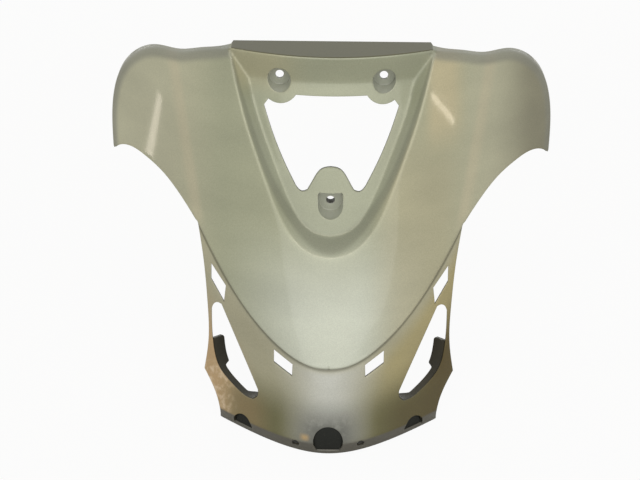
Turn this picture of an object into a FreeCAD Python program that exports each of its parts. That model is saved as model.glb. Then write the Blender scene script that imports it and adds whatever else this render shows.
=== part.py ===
import FreeCAD, Part
import math
import os

V = FreeCAD.Vector

# Moulding
wall = 2.6                  # wall of the moulding, square to the skin
shield_step = 3.5           # the raised shield stands this far in front of the lower part
through = 420.0             # length of every tool that passes through the panel
tool_front = -60.0          # where such a tool starts, in front of the panel
past_edge = 14.0            # the core runs this far past an open edge

# Levels above the lower edge
lip_z = 1.0                 # underside of the lower lip
crease_z = 13.0             # crease between the face and the lip
waist_z = 190.0             # narrowest level, where the section stops opening out
deck_z = 350.0              # flat deck on top

# Skin: leans back as it rises, each level section is a hyperbola
lean_low = 0.44             # lean at the crease, run per rise
lean_high = 0.60            # lean at the deck
nose_low = 70.0             # size of the round nose at the crease
nose_high = 165.0           # size of the round nose from the waist up
flank_low = 1.0             # slope of the straight flanks at the crease
flank_high = 0.90           # slope of the straight flanks from the waist up
fold_x = 152.0              # soft fold where each wing turns back
fold_width = 12.0
fold_gain = 0.42            # slope added outside the fold
half_wide = 262.0           # half width of the surface patch

# Edges
deck_half = 99.0            # half length of the flat deck
deck_rear_y = 213.5         # straight rear edge of the deck
wing_return = 14.5          # depth of the wing's top and outer return
roll_r = 13.0               # rolled edge of the wings
lip_run = 9.5               # the lip runs back this far as it drops
lip_return = 22.0           # flat return behind the lip
rim_r = 6.0                 # rounded rim of the recess
floor_r = 4.0               # rounded foot of the recess walls
step_r = 1.5                # rounded edge of the raised shield
crease_r = 4.0              # rounded crease above the lip

# V recess, outer edge of its right half seen from the front
recess_depth = 18.0
recess_run = 11.0           # side walls lean in by this much over the depth
recess_drop = 27.0          # height of the face under the deck
recess_side = [(0.0, 180.0), (20.0, 184.0), (36.0, 194.5), (50.0, 214.0), (69.0, 253.0), (84.0, 288.0)]
recess_corner_x = 102.5     # where the recess meets the deck
recess_top_lean = 0.27      # run per rise of the side edge near the deck
recess_plane_lean = 0.53    # tilt of the flat faces of the recess tool
recess_front = -8.0         # places of those two faces along the depth
recess_back = 54.0
recess_wall_slant = 1.2     # the wall measured across the slanted sides of the recess
recess_floor_slant = 1.15   # the wall measured through the leaning floor

# Screw pockets in the recess, all bored along Y
screw_hole_r = 4.2
upper_screw_x = 52.0
upper_screw_z = 324.0
upper_seat_y = 198.0
upper_pocket_r = 11.3
lower_screw_z = 218.0
lower_seat_y = 131.0
lower_pocket_r = 12.0
lower_pocket_top = 10.0     # flat top of the lower pocket above its screw
lower_tube_r = 8.0
lower_tube = 8.0

# Big opening in the recess floor
opening_top_z = 311.5
opening_lobe_r = 21.0       # round pad kept about each upper screw
opening_side = [(67.0, 300.0), (60.0, 282.0), (46.0, 253.0), (34.0, 233.0)]
opening_foot = (28.5, 229.0)
opening_tongue = [(23.0, 230.5), (18.2, 238.0), (14.0, 244.5), (9.5, 248.8), (0.0, 251.0)]

# Outline of the right half seen from the front
wing_edge = [(deck_half, deck_z), (111.0, 346.0), (132.0, 341.0), (156.0, 334.5), (181.0, 330.5),
             (206.0, 317.0), (222.0, 298.0), (232.0, 262.0), (230.0, 222.0)]
trim_edge = [(230.0, 222.0), (220.0, 229.5), (206.0, 233.0), (190.0, 231.0), (171.0, 225.0),
             (152.0, 212.5), (133.0, 193.0)]
side_edge = [(131.6, 187.5), (127.0, 164.0), (122.0, 113.0), (122.0, 73.0), (126.0, 48.0)]
foot_edge = [(126.0, 48.0), (114.0, 29.0), (110.0, 10.0), (110.0, -10.0)]

# Lower edge of the raised shield
step_edge = [(133.0, 193.0), (116.0, 168.0), (95.0, 139.0), (68.0, 111.0), (52.0, 99.0),
             (32.0, 88.0), (14.0, 82.8), (0.0, 82.0)]

# Slots below the shield and the large side windows
upper_slot = [(118.0, 157.0), (103.0, 140.0), (105.0, 124.0), (118.0, 142.0)]
lower_slot = [(54.0, 92.0), (35.5, 82.0), (36.0, 71.0), (54.0, 80.0)]
window_inner = [(110.0, 118.5), (92.0, 91.0), (77.0, 65.0), (70.5, 48.0)]
window_foot = [(70.5, 48.0), (70.5, 41.0), (77.0, 37.5)]
window_outer = [(77.0, 37.5), (88.0, 42.0), (100.0, 47.0), (110.0, 55.0), (116.0, 71.0), (118.0, 99.0),
                (118.0, 110.0)]
window_head = [(118.0, 110.0), (116.0, 117.0), (110.0, 118.5)]
window_return = 12.0        # depth of the wall along the outer lower side of each window
window_tab = 17.0           # depth of the tab at the wall's upper end
window_tab_span = [(116.0, 71.0), (117.3, 80.0), (118.0, 90.0)]
window_bump = 19.0          # depth of the bump at the wall's lower end
window_bump_span = [(77.0, 37.5), (81.5, 39.2), (86.0, 41.1)]

# Holes along the lower edge, with collars for rubber plugs
centre_hole_z = 17.0
centre_hole_r = 13.5
centre_face_y = 12.0        # front face of the centre plug
centre_collar_y = 20.0      # rear end of the centre collar
side_hole_x = 90.0
side_hole_z = 11.5
side_hole_r = 9.0
side_face = 8.0             # front face of a side plug behind the crease
side_collar = 15.0          # rear end of a side collar behind the crease
collar_wall = 2.2
plug_gap = 0.2
plug_flange = 2.5
plug_edge_r = 1.0
lip_hole_x = 32.0
lip_hole_z = 7.0
lip_hole_r = 3.8


def clamp(t):
    return max(0.0, min(1.0, t))


def opening_out(z):
    """Share of the way from the crease to the waist, with soft ends."""
    t = clamp((z - crease_z) / (waist_z - crease_z))
    return t * t * (3.0 - 2.0 * t)


def middle(z):
    """Front of the skin on the centre line."""
    rise = z - crease_z
    full = deck_z - crease_z
    return lean_low * rise + (lean_high - lean_low) * rise * rise / (2.0 * full)


def skin(x, z):
    """Front of the skin at a place seen from the front."""
    t = opening_out(z)
    nose = nose_low + (nose_high - nose_low) * t
    flank = flank_low + (flank_high - flank_low) * t
    bow = flank * (math.hypot(nose, x) - nose)
    past = abs(x) - fold_x
    fold = 0.5 * fold_gain * (past + math.hypot(past, fold_width))
    flat = 0.5 * fold_gain * (math.hypot(fold_x, fold_width) - fold_x)
    return middle(z) + bow + fold - flat


def slopes(x, z):
    """Slopes of the skin across and upward."""
    d = 0.05
    across = (skin(x + d, z) - skin(x - d, z)) / (2.0 * d)
    upward = (skin(x, z + d) - skin(x, z - d)) / (2.0 * d)
    return across, upward


def inset_point(x, z, inset):
    """Skin point moved into the moulding, in its own level, by a thickness square to the skin."""
    across, upward = slopes(x, z)
    level = math.hypot(1.0, across)
    push = inset * math.sqrt(1.0 + across ** 2 + upward ** 2) / level
    return V(x - push * across / level, skin(x, z) + push / level, z)


stations = [0.0, 0.1, 0.2, 0.3, 0.4, 0.47, 0.53, 0.58, 0.63, 0.7, 0.8, 0.9, 1.0]
across_stations = [-s for s in reversed(stations[1:])] + stations
levels = [crease_z, 45.0, 80.0, 115.0, 150.0, waist_z, 240.0, 295.0, deck_z + 15.0]


def level_row(z, inset):
    return [inset_point(s * half_wide, z, inset) for s in across_stations]


def curve_through(points, places):
    """Smooth curve that passes each point at its own place along the curve."""
    curve = Part.BSplineCurve()
    curve.interpolate(Points=points, Parameters=places)
    return curve


def skin_face(inset):
    """Smooth face through the level sections, moved into the moulding by the inset."""
    rows = [curve_through(level_row(z, inset), across_stations) for z in levels]
    columns = []
    for i in range(rows[0].NbPoles):
        columns.append(curve_through([row.getPole(i + 1) for row in rows], levels))
    surface = Part.BSplineSurface()
    surface.buildFromPolesMultsKnots(
        [column.getPoles() for column in columns],
        rows[0].getMultiplicities(), columns[0].getMultiplicities(),
        rows[0].getKnots(), columns[0].getKnots(),
        False, False, rows[0].Degree, columns[0].Degree)
    return surface.toShape()


def behind(face):
    return face.extrude(V(0, through, 0))


def lower_edge(face):
    return min(face.Edges, key=lambda e: e.BoundBox.ZMax)


def spline(points):
    curve = Part.BSplineCurve()
    curve.interpolate(points)
    return curve.toShape()


def lip_row(inset, level, more=0.0):
    """Level row behind the crease; what is added to the inset runs out towards the ends."""
    row = []
    for s in across_stations:
        x = s * half_wide
        share = max(0.0, 1.0 - (x / foot_edge[-1][0]) ** 6)
        p = inset_point(x, crease_z, inset + more * share)
        row.append(V(p.x, p.y, level))
    return row


def lower_block(inset):
    """Solid behind the lower part: the face down to the crease, then the sloped lip."""
    face = skin_face(shield_step + inset)
    bottom = lip_z + inset
    run = lip_run * (crease_z - bottom) / (crease_z - lip_z)
    edge = spline(lip_row(shield_step + inset + run, bottom))
    lip = behind(Part.makeRuledSurface(lower_edge(face), edge))
    return behind(face).fuse(lip)


def front(points):
    return [V(x, 0, z) for x, z in points]


def mirrored(points):
    return [(-x, z) for x, z in points]


def sideways(points, grow):
    """Points of an open outline moved square to it, to the left of its direction."""
    moved = []
    for i in range(len(points)):
        x0, z0 = points[max(i - 1, 0)]
        x1, z1 = points[min(i + 1, len(points) - 1)]
        length = math.hypot(x1 - x0, z1 - z0)
        x, z = points[i]
        moved.append((x - grow * (z1 - z0) / length, z + grow * (x1 - x0) / length))
    return moved


def right_and_left(pieces):
    """Edges of a closed outline from the pieces of its right half and their mirror."""
    edges = []
    for piece in pieces:
        for half in (piece, mirrored(piece)):
            points = front(half)
            edges.append(spline(points) if len(points) > 2 else Part.makeLine(*points))
    return edges


def prism(edges):
    wire = Part.Wire(Part.__sortEdges__(edges))
    solid = Part.Face(wire).extrude(V(0, through, 0))
    solid.translate(V(0, tool_front, 0))
    return solid


def polygon(points):
    points = front(points)
    return [Part.makeLine(points[i - 1], points[i]) for i in range(len(points))]


def bore(x, z, r, end, start=tool_front):
    return Part.makeCylinder(r, end - start, V(x, start, z), V(0, 1, 0))


def both_sides(solid):
    return [solid, solid.mirror(V(0, 0, 0), V(1, 0, 0))]


def shield_outline(inset):
    """Raised shield with its wings; the core keeps one wall inside its closed edges only."""
    if inset == 0.0:
        pieces = [[(0.0, deck_z), wing_edge[0]], wing_edge, trim_edge, step_edge]
        return right_and_left(pieces)
    wing = sideways(wing_edge, -inset)
    wing[0] = (wing[0][0], deck_z - inset)
    tip = (wing[-1][0] - 0.2 * past_edge, wing[-1][1] - 2.5 * past_edge)
    step = sideways(step_edge, -inset)
    step[-1] = (0.0, step_edge[-1][1] + inset)
    past = (step[0][0] + past_edge, step[0][1])
    top = [(0.0, deck_z - inset), wing[0]]
    return right_and_left([top, wing + [tip], [tip, past], [past, step[0]], step])


def lower_outline(inset):
    """Lower part; the core is open at its sides and foot."""
    if inset == 0.0:
        first = side_edge[0]
        foot = foot_edge[-1]
        return right_and_left([[(0.0, first[1]), first], side_edge, foot_edge, [foot, (0.0, foot[1])]])
    top = trim_edge[-1][1] + past_edge
    foot = foot_edge[-1][1]
    return polygon([(-half_wide, foot), (half_wide, foot), (half_wide, top), (-half_wide, top)])


def depth_of(p):
    return p.y - skin(p.x, p.z)


def picked(solid, wanted):
    """Edges of a solid whose length and middle point pass a test."""
    chosen = []
    for edge in solid.Edges:
        if wanted(edge, edge.valueAt(0.5 * (edge.FirstParameter + edge.LastParameter))):
            chosen.append(edge)
    return chosen


def rolled(solid, radius):
    """Round the top and outer edges of the wings."""
    def wing(edge, p):
        outside = abs(p.x) > deck_half + 20.0 and p.z > wing_edge[-1][1] + 15.0
        return outside and abs(depth_of(p)) < 8.0

    return solid.makeFillet(radius, picked(solid, wing))


def body(inset):
    """Everything behind the front, moved in by the inset: the outside, or the core within the wall."""
    shield = behind(skin_face(inset)).common(prism(shield_outline(inset)))
    shield = rolled(shield, roll_r - inset)
    lower = lower_block(inset).common(prism(lower_outline(inset)))
    return shield.fuse(lower)


def recess_wire(place, grow):
    """Edge of the recess tool on one of its two tilted flat faces."""
    def put(x, z, dx, dz, shift):
        reach = skin(x, z) - recess_plane_lean * z + shift
        k = (place - reach) / recess_depth
        x1 = x + k * dx
        z1 = z + k * dz
        return V(x1, place + recess_plane_lean * z1, z1)
    grow_side = grow * recess_wall_slant
    lead = sideways(recess_side, -grow_side)
    lead[0] = (0.0, recess_side[0][1] - grow_side)
    unit = sideways(recess_side, 1.0)
    unit[0] = (0.0, recess_side[0][1] + 1.0)
    right = []
    for (x, z), (x0, z0), (xn, zn) in zip(lead, recess_side, unit):
        right.append(put(x, z, (xn - x0) * recess_run, (zn - z0) * recess_run, 0.0))
    corner = recess_corner_x + grow_side
    slide = recess_run * math.hypot(1.0, recess_top_lean) + recess_drop * recess_top_lean
    right.append(put(corner, deck_z, -slide, -recess_drop, grow))
    top = []
    for share in (1.0, 0.75, 0.5, 0.25, 0.0):
        top.append(put(corner * share, deck_z, -slide * share, -recess_drop, grow))
    left = [V(-p.x, p.y, p.z) for p in reversed(right[1:])]
    top_left = [V(-p.x, p.y, p.z) for p in reversed(top[:-1])]
    return Part.Wire([spline(left + right), spline(top + top_left)])


def recess_tool(grow):
    """Wedge between the two tilted faces, ended by the recess floor."""
    low = min(skin(x, z) - recess_plane_lean * z for x, z in recess_side)
    ends = [recess_wire(low + place, grow) for place in (recess_front, recess_back)]
    floor = behind(skin_face(0.0))
    floor.translate(V(0, recess_depth + grow * recess_floor_slant, 0))
    return Part.makeLoft(ends, True, True).cut(floor)


def soft_edges(solid):
    """Round the rim and floor of the recess, the shield's step and the lip's crease in turn."""
    def rim(edge, p):
        return edge.Length > 400.0 and abs(depth_of(p)) < 1.0

    def floor(edge, p):
        return edge.Length > 350.0 and abs(depth_of(p) - recess_depth) < 1.0

    def step(edge, p):
        return 190.0 < edge.Length < 230.0 and abs(depth_of(p)) < 1.0 and p.z < waist_z

    def crease(edge, p):
        return edge.Length > 100.0 and abs(p.z - crease_z) < 0.5

    for wanted, radius in ((rim, rim_r), (floor, floor_r), (step, step_r), (crease, crease_r)):
        solid = solid.makeFillet(radius, picked(solid, wanted))
    return solid


def pockets(grow):
    """The three screw pockets as solids, grown by the wall for the core."""
    tools = both_sides(bore(upper_screw_x, upper_screw_z, upper_pocket_r + grow, upper_seat_y + grow))
    lower = bore(0.0, lower_screw_z, lower_pocket_r + grow, lower_seat_y + grow)
    size = 3.0 * lower_pocket_r
    flat = Part.makeBox(2.0 * size, through, size)
    flat.translate(V(-size, tool_front, lower_screw_z + lower_pocket_top + grow))
    tools.append(lower.cut(flat))
    return tools


def opening():
    """The big opening, round the pads of the upper screws and the tongue of the lower one."""
    x, z, r = upper_screw_x, upper_screw_z, opening_lobe_r
    inner = x - math.sqrt(r ** 2 - (z - opening_top_z) ** 2)
    start, end = (inner, opening_top_z), (x + r * 0.5, z - r * math.sqrt(0.75))
    lobe = Part.Arc(*front([start, (x - r * 0.2, z - r * math.sqrt(0.96)), end])).toShape()
    lobes = [lobe, lobe.mirror(V(0, 0, 0), V(1, 0, 0))]
    head = [start, (0.0, opening_top_z)]
    foot = [opening_side[-1], opening_foot, opening_tongue[0]]
    pieces = [head, [end, opening_side[0]], opening_side, foot, opening_tongue]
    return prism(right_and_left(pieces) + lobes)


def window(side):
    edges = [spline(front(piece)) for piece in (window_inner, window_foot, window_outer, window_head)]
    solid = prism(edges)
    return solid if side > 0 else solid.mirror(V(0, 0, 0), V(1, 0, 0))


def window_wall(face, span, depth):
    """Wall that stands on a span of the window's edge and runs in square to the skin."""
    outer = sideways(span, -wall)
    edges = [spline(front(span)), spline(front(outer))]
    edges += [Part.makeLine(*front([span[i], outer[i]])) for i in (0, -1)]
    across, upward = slopes(*window_outer[3])
    inward = V(-across, 1, -upward).normalize()
    return face.common(prism(edges)).extrude(inward * depth)


def window_walls():
    """Return wall along the outer lower side of the right window, with its tab and bump."""
    face = skin_face(shield_step)
    wall_span = window_outer[:-2] + [window_tab_span[-1]]
    spans = [(wall_span, window_return), (window_tab_span, window_tab), (window_bump_span, window_bump)]
    return [window_wall(face, span, depth) for span, depth in spans]


def rear_trims():
    """What is cut away behind the deck, behind the wing returns and behind the lip return."""
    deck = Part.makeBox(2.0 * deck_half, through, half_wide)
    deck.translate(V(-deck_half, deck_rear_y, deck_z - 3.0 * roll_r))
    wing = behind(skin_face(0.0))
    wing.translate(V(0, wing_return, 0))
    reach = Part.makeBox(half_wide, 2.0 * through, half_wide)
    reach.translate(V(deck_half, tool_front, trim_edge[-1][1]))
    low = foot_edge[-1][1]
    curve = lip_row(shield_step + lip_run, low, lip_return)
    ends = [curve[-1], V(curve[-1].x, through, low), V(curve[0].x, through, low), curve[0]]
    edges = [spline(curve)] + [Part.makeLine(ends[i], ends[i + 1]) for i in range(3)]
    under = Part.Face(Part.Wire(Part.__sortEdges__(edges))).extrude(V(0, 0, crease_z - crease_r - low))
    return [deck, under] + both_sides(wing.common(reach))


def side_axis():
    """Middle of the right plug hole on the crease, and the way it faces."""
    across = slopes(side_hole_x, crease_z)[0]
    out = V(across, -1, 0).normalize()
    start = inset_point(side_hole_x, crease_z, shield_step)
    return V(start.x, start.y, side_hole_z), out


def plug_hole(r, length):
    """Right plug hole as a cylinder, from in front of the lip to a depth behind the crease."""
    middle_point, out = side_axis()
    return Part.makeCylinder(r, length - tool_front, middle_point - out * tool_front, out * -1.0)


def plug(middle_point, out, face, end, r):
    """Rubber plug: a stem in the collar and a rear flange, cut flat just above the lip's return."""
    stem = Part.makeCylinder(r - plug_gap, end - face, middle_point - out * face, out * -1.0)
    rim = [e for e in stem.Edges if (e.CenterOfMass - (middle_point - out * face)).Length < 0.01]
    stem = stem.makeFillet(plug_edge_r, rim)
    flange = Part.makeCylinder(r + collar_wall, plug_flange, middle_point - out * end, out * -1.0)
    flat = Part.makeBox(through, through, through)
    flat.translate(V(-0.5 * through, tool_front, lip_z + wall + plug_gap - through))
    return stem.fuse(flange.cut(flat)).removeSplitter()


def front_panel():
    outside = body(0.0)
    core = body(wall)
    hollow = core.copy()
    outside = soft_edges(outside.cut(recess_tool(0.0))).cut(pockets(0.0))
    core = core.cut([recess_tool(wall)] + pockets(wall))
    panel = outside.cut(core).cut(rear_trims())
    cuts = [opening()]
    for outline in (upper_slot, lower_slot):
        cuts += both_sides(prism(polygon(outline)))
    cuts += [window(1), window(-1)]
    panel = panel.cut(cuts)
    ribs = []
    for rib in window_walls():
        ribs += both_sides(rib)
    tube_end = lower_seat_y + wall + lower_tube
    tube = bore(0.0, lower_screw_z, lower_tube_r, tube_end, lower_seat_y + 0.5 * wall)
    collar = bore(0.0, centre_hole_z, centre_hole_r + collar_wall, centre_collar_y)
    side_collars = both_sides(plug_hole(side_hole_r + collar_wall, side_collar))
    ribs += [tube] + [solid.common(hollow) for solid in [collar] + side_collars]
    panel = panel.fuse(ribs)
    holes = [bore(0.0, centre_hole_z, centre_hole_r, centre_collar_y + wall)]
    holes += both_sides(plug_hole(side_hole_r, side_collar + wall))
    holes += both_sides(bore(lip_hole_x, lip_hole_z, lip_hole_r, lip_return))
    holes += both_sides(bore(upper_screw_x, upper_screw_z, screw_hole_r, upper_seat_y + 4.0 * wall))
    holes += [bore(0.0, lower_screw_z, screw_hole_r, tube_end + wall)]
    return panel.cut(holes)


def main():
    os.makedirs("parts", exist_ok=True)
    to_seat = V(0, -upper_seat_y, -upper_screw_z)
    centre = V(0, 0, centre_hole_z)
    side_middle, side_out = side_axis()
    right_plug = plug(side_middle, side_out, side_face, side_collar, side_hole_r)
    shapes = {
        "front_panel": front_panel(),
        "centre_plug": plug(centre, V(0, -1, 0), centre_face_y, centre_collar_y, centre_hole_r),
        "right_plug": right_plug,
        "left_plug": right_plug.mirror(V(0, 0, 0), V(1, 0, 0)),
    }
    for name, shape in shapes.items():
        shape.translate(to_seat)
        shape.exportStep("parts/" + name + ".step")


if __name__ == "__main__":
    main()
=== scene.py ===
"""Looks of a painted front fairing panel: the moulded shell, its rubber plugs, finishes, light and camera."""

import logging
import math
from collections.abc import Sequence
from dataclasses import dataclass, field, replace
from enum import IntEnum

import bpy
import numpy as np
from mathutils import Matrix, Vector
from mathutils.geometry import delaunay_2d_cdt


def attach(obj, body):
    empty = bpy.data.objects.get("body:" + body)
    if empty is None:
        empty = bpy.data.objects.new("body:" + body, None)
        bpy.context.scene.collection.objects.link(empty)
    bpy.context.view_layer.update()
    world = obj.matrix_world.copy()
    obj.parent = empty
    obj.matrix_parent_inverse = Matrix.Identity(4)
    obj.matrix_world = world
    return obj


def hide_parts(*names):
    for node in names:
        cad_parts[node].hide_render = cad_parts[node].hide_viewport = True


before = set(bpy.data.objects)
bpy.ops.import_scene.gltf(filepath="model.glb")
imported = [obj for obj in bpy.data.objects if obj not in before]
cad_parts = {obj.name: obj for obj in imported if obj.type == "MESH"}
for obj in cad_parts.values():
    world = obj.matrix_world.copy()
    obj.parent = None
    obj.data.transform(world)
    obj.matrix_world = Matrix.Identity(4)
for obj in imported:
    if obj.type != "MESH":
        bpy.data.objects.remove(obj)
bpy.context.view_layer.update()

log = logging.getLogger("fairing")

Array = np.ndarray
Knots = tuple[tuple[float, float], ...]
Place = tuple[float, float, float]
Tree = bpy.types.NodeTree
Socket = bpy.types.NodeSocket

# Sizes are in millimetres in the panel's own frame: x to the right, y back, z up from just below the lip.
# The row's origin lies midway between the upper screw seats.
SEAT = np.array([0.0, 198.0, 324.0])

# Measures that a mesh carries for its paint, from 0 to 1: how far round a rolled edge and into a pocket.
MARKS = ("rolled", "pocket")

# Lengths that are next to nothing, that count as on the middle line, that don't show, and past everything.
TINY = 1e-6
ON_MIDDLE = 1e-4
SMALL = 1e-3
FAR = 1e3

# Points handled at a time where each is measured against many others.
BATCH = 500

# Points worked out for each knot of a spline before they are spaced evenly.
SPLINE_POINTS = 60

# Points of a flat-bottomed ring on its arc and on its flat, for a whole ring and for its right half.
WHOLE_RING = (37, 17)
HALF_RING = (27, 9)

# Least cosine at a corner that is mitred in full.
MITRE_LIMIT = 0.62

# Between these values lies nearly all of a noise texture.
NOISE_LOW = 0.3
NOISE_HIGH = 0.7


class Edge(IntEnum):
    """Kinds of point, by what closes the wall there."""

    INSIDE = 0
    DECK = 1
    WING = 2
    CUT = 3
    LIP = 4


class Face(IntEnum):
    """Finish numbers of the panel's faces."""

    PAINTED = 0
    BARE = 1


FOLDED = (Edge.DECK, Edge.WING, Edge.LIP)


def columns(*parts: Array | float) -> Array:
    """Points as rows, from an array of each coordinate or one number for all."""
    return np.stack(np.broadcast_arrays(*parts), axis=-1)


def to_row(points: Array) -> Array:
    """Points of the panel's own frame in the row frame, in metres."""
    return (points - SEAT) * 0.001


def smooth_max(a: Array, b: Array | float, width: float | Array) -> Array:
    """Larger of two values, rounded over about the width where they cross (a hyperbola)."""
    return 0.5 * (a + b + np.hypot(a - b, width))


def smooth_min(a: Array, b: Array | float, width: float | Array) -> Array:
    """Smaller of two values, rounded over about the width where they cross (a hyperbola)."""
    return 0.5 * (a + b - np.hypot(a - b, width))


def soft_step(t: Array) -> Array:
    """Cubic ramp from 0 to 1 with level ends."""
    t = np.clip(t, 0.0, 1.0)
    return t * t * (3.0 - 2.0 * t)


def lengths_along(points: Array) -> Array:
    """Distance along a line of points from its first point."""
    return np.r_[0.0, np.cumsum(np.linalg.norm(np.diff(points, axis=0), axis=1))]


def evenly(points: Array, step: float) -> Array:
    """Line of points spaced evenly along another line of points.

    Args:
        points: Line to follow.
        step: Wanted spacing.

    Returns:
        Points from end to end, at least three of them.
    """
    along = lengths_along(points)
    places = np.linspace(0.0, along[-1], max(int(round(along[-1] / step)), 2) + 1)
    return columns(*(np.interp(places, along, column) for column in points.T))


def curve(knots: Sequence[tuple[float, float]], step: float) -> Array:
    """Smooth line through a few knots.

    A natural cubic spline over the chord lengths: its second derivatives solve three-term equations.

    Args:
        knots: Points that the line passes.
        step: Spacing of the points returned.

    Returns:
        Points spaced evenly along the line.
    """
    p = np.asarray(knots, float)
    if len(p) == 2:
        return evenly(p, step)
    t = lengths_along(p)
    h = np.diff(t)
    inner = np.arange(1, len(t) - 1)
    matrix = np.zeros((len(t), len(t)))
    matrix[0, 0] = matrix[-1, -1] = 1.0
    matrix[inner, inner - 1] = h[:-1]
    matrix[inner, inner] = 2.0 * (h[:-1] + h[1:])
    matrix[inner, inner + 1] = h[1:]
    bend = np.zeros_like(p)
    bend[1:-1] = 6.0 * np.diff(np.diff(p, axis=0) / h[:, None], axis=0)
    bend = np.linalg.solve(matrix, bend)
    u = np.linspace(0.0, t[-1], SPLINE_POINTS * len(t))
    k = np.clip(np.searchsorted(t, u, side="right") - 1, 0, len(t) - 2)
    left, right, span = (t[k + 1] - u)[:, None], (u - t[k])[:, None], h[k][:, None]
    line = (bend[k] * left ** 3 + bend[k + 1] * right ** 3) / (6.0 * span)
    line += (p[k] / span - bend[k] * span / 6.0) * left
    line += (p[k + 1] / span - bend[k + 1] * span / 6.0) * right
    return evenly(line, step)


def beside(points: Array, shift: float, closed: bool = False) -> Array:
    """Line moved sideways, to the left of its direction, with mitred corners.

    Args:
        points: Line to move; a closed one doesn't repeat its first point.
        shift: Distance to the left, or to the right if negative.
        closed: Whether the last point joins the first.

    Returns:
        The moved points.
    """
    ahead = np.roll(points, -1, axis=0) - points
    if not closed:
        ahead[-1] = ahead[-2]
    behind = np.roll(ahead, 1, axis=0)
    if not closed:
        behind[0] = ahead[0]
    ahead = ahead / np.linalg.norm(ahead, axis=1, keepdims=True)
    behind = behind / np.linalg.norm(behind, axis=1, keepdims=True)
    mean = ahead + behind
    mean = mean / np.maximum(np.linalg.norm(mean, axis=1, keepdims=True), TINY)
    mitre = 1.0 / np.maximum((mean * ahead).sum(axis=1, keepdims=True), MITRE_LIMIT)
    return points + shift * mitre * columns(-mean[:, 1], mean[:, 0])


def flat_ring(radius: float, floor: float, half: bool = False) -> Array:
    """Circle about the origin with its bottom cut flat, or only the right half of it.

    Args:
        radius: Radius of the arc.
        floor: Height of the flat, below which nothing is left.
        half: Whether to give only the right half, from the middle of the flat to the head.

    Returns:
        Points in order, to the left round the circle; a whole ring starts at the right end of its flat.
    """
    first = math.asin(floor / radius)
    end = radius * math.cos(first)
    on_arc, on_flat = HALF_RING if half else WHOLE_RING
    if half:
        turn = np.linspace(first, 0.5 * math.pi, on_arc)
        flat = np.linspace(0.0, end, on_flat)[:-1]
    else:
        turn = np.linspace(first, math.pi - first, on_arc)
        flat = np.linspace(-end, end, on_flat)[1:-1]
    arc = radius * columns(np.cos(turn), np.sin(turn))
    if half:
        arc[-1, 0] = 0.0
        return np.concatenate([columns(flat, floor), arc])
    return np.concatenate([arc, columns(flat, floor)])


def ring(x: float, z: float, radius: float, count: int, half: bool = False) -> Array:
    """Circle in the front view, or only its right half with both ends on the middle line.

    Args:
        x: Middle of the circle across.
        z: Middle of the circle upward.
        radius: Its radius.
        count: Points of the whole circle.
        half: Whether to give only the right half, from foot to head.

    Returns:
        Points in order, to the left round the circle.
    """
    turn = np.arange(count) * (2.0 * math.pi / count)
    if half:
        turn = np.linspace(-0.5 * math.pi, 0.5 * math.pi, count // 2 + 1)
    points = columns(x + radius * np.cos(turn), z + radius * np.sin(turn))
    if half:
        points[[0, -1], 0] = 0.0
    return points


def loop_area(loop: Array) -> float:
    """Area of a closed loop, positive where it turns left."""
    x, z = loop.T
    return float(0.5 * (x * np.roll(z, -1) - z * np.roll(x, -1)).sum())


def inside(loop: Array, at: Array) -> Array:
    """Whether each point lies in a closed loop, by counting the sides that a level ray crosses.

    Args:
        loop: Corners of the loop.
        at: Points to test.

    Returns:
        True for each point in the loop.
    """
    x0, z0 = loop.T
    x1, z1 = np.roll(loop, -1, axis=0).T
    x, z = at[:, :1], at[:, 1:]
    spans = (z0 > z) != (z1 > z)
    rise = np.where(z1 == z0, 1.0, z1 - z0)
    crosses = x < x0 + (z - z0) * (x1 - x0) / rise
    return (spans & crosses).sum(axis=1) % 2 == 1


@dataclass(frozen=True)
class Line:
    """Open line of points in the front view that distances are measured from."""

    points: Array

    def nearest(self, at: Array) -> tuple[Array, Array, Array]:
        """Nearest place on the line for each point.

        The foot of the square from a point onto every stretch, held to the stretch, and the shortest is kept.

        Args:
            at: Points, one row each.

        Returns:
            Distance, positive to the left of the line; unit normal to the left; distance along the line.
        """
        start = self.points[:-1]
        span = np.diff(self.points, axis=0)
        square = (span ** 2).sum(axis=1)
        along = lengths_along(self.points)[:-1]
        parts = []
        for part in np.array_split(at, max(len(at) // BATCH, 1)):
            gap = part[:, None, :] - start
            share = np.clip((gap * span).sum(axis=2) / square, 0.0, 1.0)
            gap = gap - share[..., None] * span
            k = (gap ** 2).sum(axis=2).argmin(axis=1)
            rows = np.arange(len(part))
            gap = gap[rows, k]
            unit = span[k] / np.sqrt(square[k])[:, None]
            side = np.where(unit[:, 0] * gap[:, 1] - unit[:, 1] * gap[:, 0] < 0.0, -1.0, 1.0)
            place = along[k] + share[rows, k] * np.sqrt(square[k])
            parts.append((side * np.linalg.norm(gap, axis=1), columns(-unit[:, 1], unit[:, 0]), place))
        return tuple(np.concatenate(column) for column in zip(*parts))


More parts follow.
